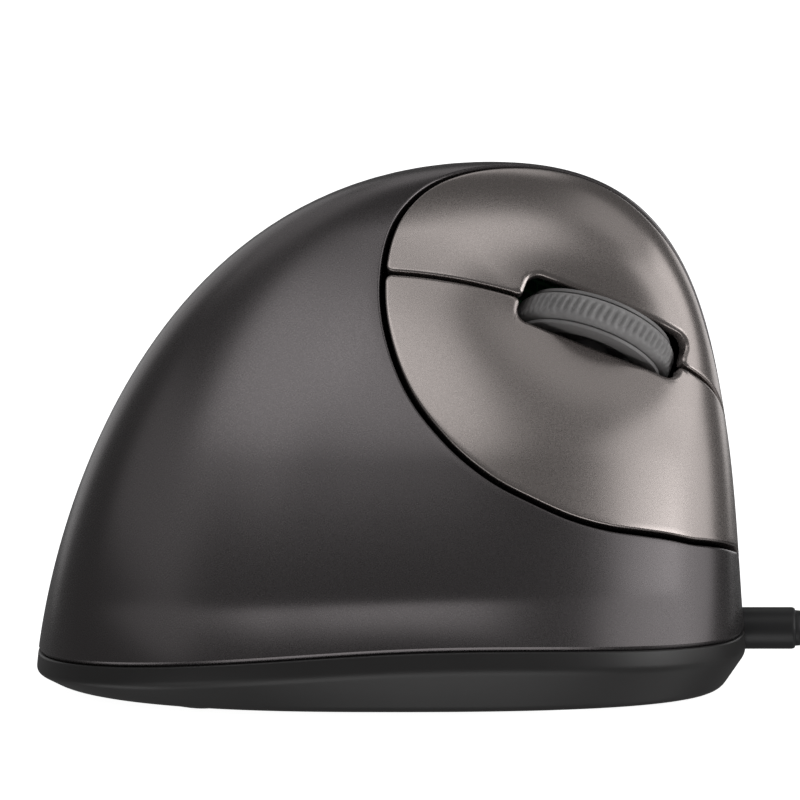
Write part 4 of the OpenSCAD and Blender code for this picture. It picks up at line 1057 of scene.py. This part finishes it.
class MOUSE_OT_caps(bpy.types.Operator):
    """The two button caps, split by the seam and notched by the wheel slot"""

    bl_idname = "mouse.caps"
    bl_label = "Button caps"

    def execute(self, context):
        sizes = context.scene.mouse_sizes
        skin = Skin(sizes)
        colour = tuple(context.scene.mouse_colours.buttons)
        finish = find_finish("metallic_paint_taupe", painted_finish, colour, 0.28, 0.95)
        for name, side in (("upper", 1), ("lower", -1)):
            parts = Parts()
            parts.add(*self.cap(skin, sizes, side))
            self.fittings(skin, sizes, parts, side)
            mesh_piece(name + "_cap_skin", parts.all_points(), parts.faces, finish, name + "_cap",
                       [name + "_button"])
        return {"FINISHED"}

    def fittings(self, skin, sizes, parts, side):
        """The post over the switch's plunger, and the lug whose bore rocks on the pin."""
        wall = sizes.cap_wall / MM
        y = PLUNGER_Y[side]
        top = skin.face_rise((PLUNGER_X, y)) - wall / 2
        profile = [(PLUNGER_TOP, 1.2), (PLUNGER_TOP + 0.1, 1.45), (PLUNGER_TOP + 0.4, 1.6), (top, 1.6)]
        foot = skin.face_point(PLUNGER_X, y, 0)
        points, faces = lathe(profile, 28, foot, skin.face_z, skin.face_x, False)
        parts.add(points, faces + [loop_fan(0, 28), loop_fan(84, 28)])
        y = LUG_Y[side]
        pin_z = skin.face_rise((PIN_X, PIN_Y)) - wall - PIN_DEEP
        lug_top = skin.face_rise((PIN_X, y + LUG_WIDE / 2)) - wall / 2 - 0.2 - pin_z
        spread = math.pi / 2 - math.asin(LUG_NECK / LUG_ROUND)
        a = np.linspace(math.pi - spread, 2 * math.pi + spread, 30)
        round_end = LUG_ROUND * np.stack([np.cos(a), np.sin(a)], -1)
        outline = np.concatenate([round_end, [(LUG_NECK, lug_top), (-LUG_NECK, lug_top)]])

        def level(reach):
            return lambda loop: skin.face_point(PIN_X + loop[:, 0], reach, pin_z + loop[:, 1])

        parts.slab([outline, circle_line(PIN_BORE, 24)], level(y), level(y + LUG_WIDE))

    def seam_place(self, skin, sizes, line, s, side):
        """Places along the seam, half a seam to one side."""
        way = bezier(line, s + 0.01) - bezier(line, s - 0.01)
        return skin.beside(bezier(line, s), way, np.full(len(s), side * sizes.seam / MM / 2))

    def chain(self, skin, sizes, side):
        """The cap's edge along the seam and half the slot, with the corners that its two ends would have."""
        x = sizes.slot_length / MM / 2
        y = sizes.slot_width / MM / 2
        groove = sizes.groove / MM
        r = SLOT_CORNER
        lift = SLOT_LIFT[side]
        rear = [skin.egg(SEAM_REAR), REAR_BEND, skin.on_face((-x, REAR_SEAM_Y))]
        front = [skin.on_face((x, FRONT_SEAM_Y)), FRONT_BEND, skin.egg(SEAM_FRONT)]
        rear_long = np.linalg.norm(skin.at(rear[0]) - skin.at(rear[2]))
        front_long = np.linalg.norm(skin.at(front[2]) - skin.at(front[0]))
        first = (groove + CAP_CORNER) / rear_long
        last = 1 - (groove + CAP_CORNER) / front_long
        step = sizes.edge_round / MM
        s = np.concatenate([first + ROUND_STEPS * step / rear_long,
                            np.linspace(first + step / rear_long, 0.95, 44)[1:]])
        rear_part = self.seam_place(skin, sizes, rear, s, side)
        s = np.concatenate([np.linspace(0.07, last - step / front_long, 34)[:-1],
                            last - ROUND_STEPS[::-1] * step / front_long])
        front_part = self.seam_place(skin, sizes, front, s, side)
        a = np.radians(np.linspace(180, 90, 10))
        way = [(-x, lift), (-x, (lift + y - r) / 2)]
        way += [(r - x + r * math.cos(k), y - r + r * math.sin(k)) for k in a]
        way += [(u, y) for u in np.linspace(r - x, x - r, 46)[1:-1]]
        way += [(x - r + r * math.cos(k), y - r + r * math.sin(k)) for k in np.pi - a[::-1]]
        way += [(x, (lift + y - r) / 2), (x, lift)]
        slot_part = skin.on_face(np.array(way) * [1, side])
        half = side * sizes.seam / MM / 2
        bend = np.linspace(0, 1, 9)[1:-1]
        rear_turn = bezier([rear_part[-1], skin.on_face((-x, REAR_SEAM_Y + half)), slot_part[0]], bend)
        front_turn = bezier([slot_part[-1], skin.on_face((x, FRONT_SEAM_Y + half)), front_part[0]], bend)
        line = np.concatenate([rear_part, rear_turn, slot_part, front_turn, front_part])
        notch = slice(len(rear_part), len(line) - len(front_part))
        tips = [self.seam_place(skin, sizes, rear, np.array([groove / rear_long]), side)[0],
                self.seam_place(skin, sizes, front, np.array([1 - groove / front_long]), side)[0]]
        return line, notch, tips

    def cap(self, skin, sizes, side):
        """Points and faces of one cap."""
        groove = sizes.groove / MM
        radius = sizes.edge_round / MM
        line, notch, tips = self.chain(skin, sizes, side)
        pts = skin.at(line)
        run = np.concatenate([[0], np.cumsum(np.linalg.norm(np.diff(pts, axis=0), axis=1))])
        go = dot(pts - pts[0], skin.face_x)
        share = 0.35 * run / run[-1] + 0.65 * go / go[-1]

        def turn(a):
            step = np.linalg.norm(skin.at(skin.egg(a + 1)) - skin.at(skin.egg(a - 1))) / 2
            return (sizes.seam / MM / 2 + CAP_CORNER) / step

        if side > 0:
            span = (SEAM_REAR - turn(SEAM_REAR), SEAM_FRONT + turn(SEAM_FRONT))
        else:
            span = (SEAM_REAR + turn(SEAM_REAR), SEAM_FRONT + 360 - turn(SEAM_FRONT))
        angles = np.linspace(*span, 241)
        arc_pts = skin.at(skin.egg(angles))
        arc_run = np.concatenate([[0], np.cumsum(np.linalg.norm(np.diff(arc_pts, axis=0), axis=1))])
        a = np.interp(share, arc_run / arc_run[-1], angles)
        arc = skin.beside(skin.egg(a), skin.egg(a + 0.5) - skin.egg(a - 0.5), np.full(len(a), groove))
        width = np.linalg.norm(skin.at(arc) - pts, axis=1)
        bevel = sizes.slot_bevel / MM
        f = np.array([graded(w, 34, bevel * 1.3, radius) / w for w in width]).T
        places = line * (1 - f[..., None]) + arc * f[..., None]
        for tip, col, from_end in ((tips[0], 0, run), (tips[1], -1, run[-1] - run)):
            bulge = tip - (line[col] + arc[col]) / 2
            fade = np.clip(1 - from_end / 4, 0, 1) ** 3
            places = places + (2 * f * (1 - f) * fade)[..., None] * bulge
        rows, cols = places.shape[:2]
        surface = skin.at(places)
        border = np.concatenate([surface[0], surface[1:-1, -1], surface[-1, ::-1], surface[1:-1, 0][::-1]])
        dist = segment_distance(surface.reshape(-1, 3), border).reshape(rows, cols)
        slot_border = np.concatenate([pts[notch], pts[notch][-2:0:-1]])
        slot_dist = segment_distance(surface.reshape(-1, 3), slot_border).reshape(rows, cols)
        slope = SLOT_SLOPE * np.clip(bevel - slot_dist, 0, None) + round_drop(slot_dist, SLOT_EDGE_ROUND)
        outer = skin.under(places, np.maximum(round_drop(dist, radius), slope))
        inner = skin.under(places, np.full((rows, cols), sizes.cap_wall / MM))
        n = rows * cols
        faces = grid_faces(rows, cols) + grid_faces(rows, cols, start=n)
        around = list(range(cols)) + [r * cols + cols - 1 for r in range(1, rows)]
        around += [(rows - 1) * cols + c for c in range(cols - 2, -1, -1)]
        around += [r * cols for r in range(rows - 2, 0, -1)]
        for i, j in zip(around, around[1:] + around[:1]):
            faces.append([i, j, j + n, i + n])
        return np.concatenate([outer.reshape(-1, 3), inner.reshape(-1, 3)]), faces


# Base

BASE_COLUMNS = 288
FLOOR_Z = 2.9
BASE_Z = 0.7
BASE_INSET = 3.2
LIP_BULGE = 0.3
PART_GAP = 0.1
LIP_ROUND = 0.35
CREASE_ROUND = 0.8
FOOT_ROUND = 1.2
WELL_RADIUS = 2.6
WELL_TOP = 1.92
SCREWS = [(-44, 0), (26, 25), (26, -25), (0.5, 12), (22, 12)]
WINDOW_X = -18
WINDOW = (9, 13)
WINDOW_ROUND = 0.8


class MOUSE_OT_base(bpy.types.Operator):
    """Base tray with its lip, screw wells and sensor window"""

    bl_idname = "mouse.base"
    bl_label = "Base"

    def execute(self, context):
        sizes = context.scene.mouse_sizes
        skin = Skin(sizes)
        a = np.arange(BASE_COLUMNS) * 360 / BASE_COLUMNS
        rim = skin.rim(a)
        corner = skin.at(rim)
        out = unit(skin.normal(rim) * [1, 1, 0])
        top = corner[:, 2] - PART_GAP
        crease = corner[:, 2] - sizes.lip_height / MM
        wall = sizes.wall / MM

        def spot(inset, z):
            point = corner - inset * out
            point[:, 2] = z
            return point

        knots = [spot(wall, top), spot(0, top), spot(-LIP_BULGE, crease), spot(BASE_INSET, BASE_Z),
                 spot(BASE_INSET + 6, BASE_Z)]
        rows = [spot(BASE_INSET + wall, FLOOR_Z), knots[0]]
        for k, radius in enumerate((LIP_ROUND, CREASE_ROUND, FOOT_ROUND), 1):
            before = knots[k] + unit(knots[k - 1] - knots[k]) * radius
            after = knots[k] + unit(knots[k + 1] - knots[k]) * radius
            for s in np.linspace(0, 1, 7):
                rows.append(bezier([before, knots[k], after], np.full(len(a), s)))
        parts = Parts()
        n = len(a)
        parts.add(np.concatenate(rows), grid_faces(len(rows), n, False, True))
        self.close(parts, rows, n)
        colours = context.scene.mouse_colours
        finish = find_finish("satin_abs_base", moulded_finish, tuple(colours.base), 0.4, 0.3, 0.004)
        mesh_piece("base_tray", parts.all_points(), parts.faces, finish, "housing",
                   ["base_plate"])
        return {"FINISHED"}

    def close(self, parts, rows, n):
        """The underside with its screw wells and sensor window, and the floor inside."""
        window = rounded_box_line((WINDOW_X - WINDOW[0] / 2, -WINDOW[1] / 2),
                                  (WINDOW_X + WINDOW[0] / 2, WINDOW[1] / 2), WINDOW_ROUND, 4)
        holes = [window] + [circle_line(WELL_RADIUS, 28, x, y) for x, y in SCREWS]
        below = [parts.add(np.column_stack([h, np.full(len(h), BASE_Z)]), []) for h in holes]
        tops = [FLOOR_Z] + [WELL_TOP] * len(SCREWS)
        above = [parts.add(np.column_stack([h, np.full(len(h), z)]), []) for h, z in zip(holes, tops)]
        for i, h in enumerate(holes):
            k = len(h)
            for j in range(k):
                j2 = (j + 1) % k
                parts.faces.append([below[i] + j, below[i] + j2, above[i] + j2, above[i] + j])
            if i:
                parts.faces.append(loop_fan(above[i], k))
        parts.sheet([loop_fan((len(rows) - 1) * n, n)] + [loop_fan(s, len(h)) for s, h in zip(below, holes)])
        parts.sheet([loop_fan(0, n), loop_fan(above[0], len(window))])


# Wheel

SHOULDER_ROUND = 1.5
RIB_SLANT = 0.16
RIB_STEPS = 12
HUB_SIDES = 144
HOLE_RADIUS = 1.7
HOLE_REACH = 5.5
HOLE_SIDES = 24


class MOUSE_OT_wheel(bpy.types.Operator):
    """Scroll wheel: a ribbed tyre between the two rims of its hub"""

    bl_idname = "mouse.wheel"
    bl_label = "Wheel"

    def execute(self, context):
        sizes = context.scene.mouse_sizes
        colours = context.scene.mouse_colours
        skin = Skin(sizes)
        low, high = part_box("wheel_tyre")
        centre = np.array((low + high) / 2) / MM
        rubber = find_finish("moulded_rubber_grey", rubber_finish, tuple(colours.tyre))
        acetal = find_finish("moulded_acetal_hub", moulded_finish, tuple(colours.hub), 0.38, 0.3, 0.003)
        points, faces = self.tyre(skin, sizes, centre)
        mesh_piece("ribbed_tyre", points, faces, rubber, "wheel", ["wheel_tyre"], 60)
        parts = self.hub(skin, sizes, centre)
        mesh_piece("rimmed_hub", parts.all_points(), parts.faces, acetal, "wheel",
                   ["wheel_hub"])
        return {"FINISHED"}

    def tyre(self, skin, sizes, centre):
        """A ring with rounded shoulders, whose slightly slanted ribs run out on them."""
        half = sizes.tyre_width / MM / 2
        top = sizes.wheel_diameter / MM / 2
        rib = sizes.rib_height / MM
        seat = sizes.hub_diameter / MM / 2
        bend = SHOULDER_ROUND
        a = np.radians(np.linspace(0, 90, 9))
        crown = np.linspace(bend - half, half - bend, 11)
        shoulder = top - bend + bend * np.sin(a)
        edge = half - bend + bend * np.cos(a)
        y = np.concatenate([[-half], -edge, crown[1:-1], edge[::-1], [half]])
        r = np.concatenate([[seat], shoulder, np.full(9, top), shoulder[::-1], [seat]])
        count = sizes.rib_count * RIB_STEPS
        turn = np.arange(count) / count
        phase = turn * sizes.rib_count + RIB_SLANT * y[:, None]
        valley = (0.5 + 0.5 * np.cos(2 * np.pi * phase)) ** 1.3
        fade = 1 - ease((np.abs(y) - 0.6) / 1.1)
        radius = r[:, None] - rib * valley * fade[:, None]
        angle = 2 * np.pi * turn
        points = (centre + (radius * np.cos(angle))[..., None] * skin.face_x
                  + (radius * np.sin(angle))[..., None] * skin.face_z + y[:, None, None] * skin.face_y)
        return points.reshape(-1, 3), grid_faces(len(y), count, True, True)

    def hub(self, skin, sizes, centre):
        """Two rims with rounded edges, a web with six holes and a boss on the axle."""
        side = sizes.wheel_width / MM / 2
        bed = sizes.tyre_width / MM / 2 + 0.15
        rim = sizes.rim_diameter / MM / 2
        seat = sizes.hub_diameter / MM / 2
        bore = 1.25
        boss = 3.0
        web = 1.2
        inner = seat - 1.6
        half = [(web, inner), (side - 0.25, inner), (side - 0.07, inner + 0.07), (side, inner + 0.25),
                (side, rim - 0.2), (side - 0.06, rim - 0.06), (side - 0.2, rim), (bed + 0.12, rim),
                (bed + 0.03, rim - 0.03), (bed, rim - 0.12), (bed, seat)]
        ring = [(-y, r) for y, r in half] + half[::-1]
        core = [(-web, boss), (-side, boss), (-side, bore), (side, bore), (side, boss), (web, boss)]
        parts = Parts()
        ends = []
        for profile in (ring, core):
            start = parts.add(*lathe(profile, HUB_SIDES, centre, skin.face_y, skin.face_x, False))
            last = start + (len(profile) - 1) * HUB_SIDES
            ends.append((loop_fan(start, HUB_SIDES), loop_fan(last, HUB_SIDES)))
        holes = [circle_line(HOLE_RADIUS, HOLE_SIDES, x, y) for x, y in circle_line(HOLE_REACH, 6)]
        rings = []
        for y in (-web, web):
            rings.append([loop_fan(parts.add(centre + h[:, :1] * skin.face_x + h[:, 1:] * skin.face_z
                                             + y * skin.face_y, []), HOLE_SIDES) for h in holes])
        for a, b in zip(*rings):
            for i in range(HOLE_SIDES):
                j = (i + 1) % HOLE_SIDES
                parts.faces.append([a[i], a[j], b[j], b[i]])
        for k in (0, 1):
            parts.sheet([ends[0][k], ends[1][k]] + rings[k])
        return parts


# Thumb buttons

class MOUSE_OT_thumb_buttons(bpy.types.Operator):
    """The two thumb buttons"""

    bl_idname = "mouse.thumb_buttons"
    bl_label = "Thumb buttons"

    def execute(self, context):
        sizes = context.scene.mouse_sizes
        skin = Skin(sizes)
        colours = context.scene.mouse_colours
        finish = find_finish("satin_abs_thumb", moulded_finish, tuple(colours.thumb), 0.34, 0.3, 0.003)
        half = (sizes.thumb_length - sizes.thumb_width) / 2 / MM
        proud = sizes.thumb_proud / MM
        turn = np.linspace(0, 2 * np.pi, 72, endpoint=False)
        # How far each ring stands out from the button's outline, and how high over the skin
        stations = [(1.0, -3.8), (1.0, -3.0), (0.0, -3.0), (0.0, proud - 0.9), (-0.03, proud - 0.68)]
        stations += [(-0.12, proud - 0.46), (-0.28, proud - 0.28), (-0.5, proud - 0.14), (-0.8, proud - 0.04)]
        stations += [(-1.3, proud + 0.05), (-2.0, proud + 0.11), (-2.8, proud + 0.14), (-3.5, proud + 0.15)]
        for name, side in (("forward", 1), ("back", -1)):
            middle = side * (sizes.thumb_length + sizes.thumb_land) / 2 / MM
            rows = []
            for grow, rise in stations:
                r = sizes.thumb_width / MM / 2 + grow
                x = middle + r * np.cos(turn) + np.where(np.cos(turn) >= 0, half, -half)
                place = skin.on_thumb(np.stack([x, r * np.sin(turn)], -1))
                rows.append(skin.at(place) + rise * skin.thumb_z)
            n = len(turn)
            faces = grid_faces(len(rows), n, False, True)
            faces += [loop_fan(0, n), loop_fan((len(rows) - 1) * n, n)]
            mesh_piece("thumb_" + name + "_pad", np.concatenate(rows), faces, finish, name + "_cap",
                       ["thumb_" + name])
        return {"FINISHED"}


# What keeps its CAD shape

class MOUSE_OT_inner_works(bpy.types.Operator):
    """Finishes for the pieces that keep their CAD shape"""

    bl_idname = "mouse.inner_works"
    bl_label = "Inner works"

    def execute(self, context):
        colours = context.scene.mouse_colours
        dark = find_finish("moulded_nylon_dark", moulded_finish, linear("#26282b"), 0.5, 0.35, 0.006)
        pale = find_finish("moulded_acetal_ivory", moulded_finish, linear("#e8e2d2"), 0.4, 0.35, 0.003)
        steel = find_finish("drawn_steel", metal_finish, linear("#b9bcc0"), 0.3)
        plated = find_finish("nickel_plated_steel", metal_finish, linear("#cfcdc6"), 0.22)
        board = find_finish("glass_fibre_board", board_finish)
        glide = find_finish("slick_glide_film", moulded_finish, linear("#222223"), 0.3, 0.4, 0.002)
        clear = find_finish("clear_polycarbonate", clear_finish, linear("#dfe9ef"))
        red = find_finish("clear_red_epoxy", clear_finish, linear("#c8323a"))
        pvc = cable_pvc(colours)
        chosen = [
            (dark, "inner_frame encoder sensor_chip"),
            (dark, "upper_switch lower_switch middle_switch forward_switch back_switch"),
            (pale, "encoder_rotor axle_shoe upper_plunger lower_plunger middle_plunger forward_plunger"),
            (pale, "back_plunger cable_socket usb_tongue"),
            (steel, "hinge_pin wheel_axle base_screws"),
            (plated, "usb_shell"),
            (board, "button_board thumb_board main_board"),
            (glide, "glide_feet"),
            (clear, "sensor_lens"),
            (red, "sensor_led"),
            (pvc, "inner_lead"),
        ]
        for finish, names in chosen:
            for name in names.split():
                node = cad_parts[name]
                node.data.materials.clear()
                node.data.materials.append(finish)
        return {"FINISHED"}


class MOUSE_PT_panel(bpy.types.Panel):
    """The mouse's pieces, sizes and colours"""

    bl_idname = "MOUSE_PT_panel"
    bl_label = "Corded vertical mouse"
    bl_space_type = "VIEW_3D"
    bl_region_type = "UI"
    bl_category = "Mouse"

    def draw(self, context):
        column = self.layout.column(align=True)
        for operator in OPERATORS:
            column.operator(operator.bl_idname)
        for group in (context.scene.mouse_sizes, context.scene.mouse_colours):
            column = self.layout.column(align=True)
            for key in group.__annotations__:
                column.prop(group, key)


OPERATORS = [
    MOUSE_OT_stage, MOUSE_OT_plug, MOUSE_OT_cable, MOUSE_OT_shell, MOUSE_OT_caps, MOUSE_OT_base,
    MOUSE_OT_wheel, MOUSE_OT_thumb_buttons, MOUSE_OT_inner_works]
CLASSES = [MouseSizes, MouseColours] + OPERATORS + [MOUSE_PT_panel]


def register():
    """Adds the mouse's classes and its sizes and colours."""
    for cls in CLASSES:
        bpy.utils.register_class(cls)
    bpy.types.Scene.mouse_sizes = PointerProperty(type=MouseSizes)
    bpy.types.Scene.mouse_colours = PointerProperty(type=MouseColours)


def unregister():
    """Takes them away again."""
    del bpy.types.Scene.mouse_sizes
    del bpy.types.Scene.mouse_colours
    for cls in reversed(CLASSES):
        bpy.utils.unregister_class(cls)


def main():
    """Builds every piece."""
    register()
    bpy.ops.mouse.stage()
    bpy.ops.mouse.plug()
    bpy.ops.mouse.cable()
    bpy.ops.mouse.shell()
    bpy.ops.mouse.caps()
    bpy.ops.mouse.base()
    bpy.ops.mouse.wheel()
    bpy.ops.mouse.thumb_buttons()
    bpy.ops.mouse.inner_works()


if __name__ == "__main__":
    main()
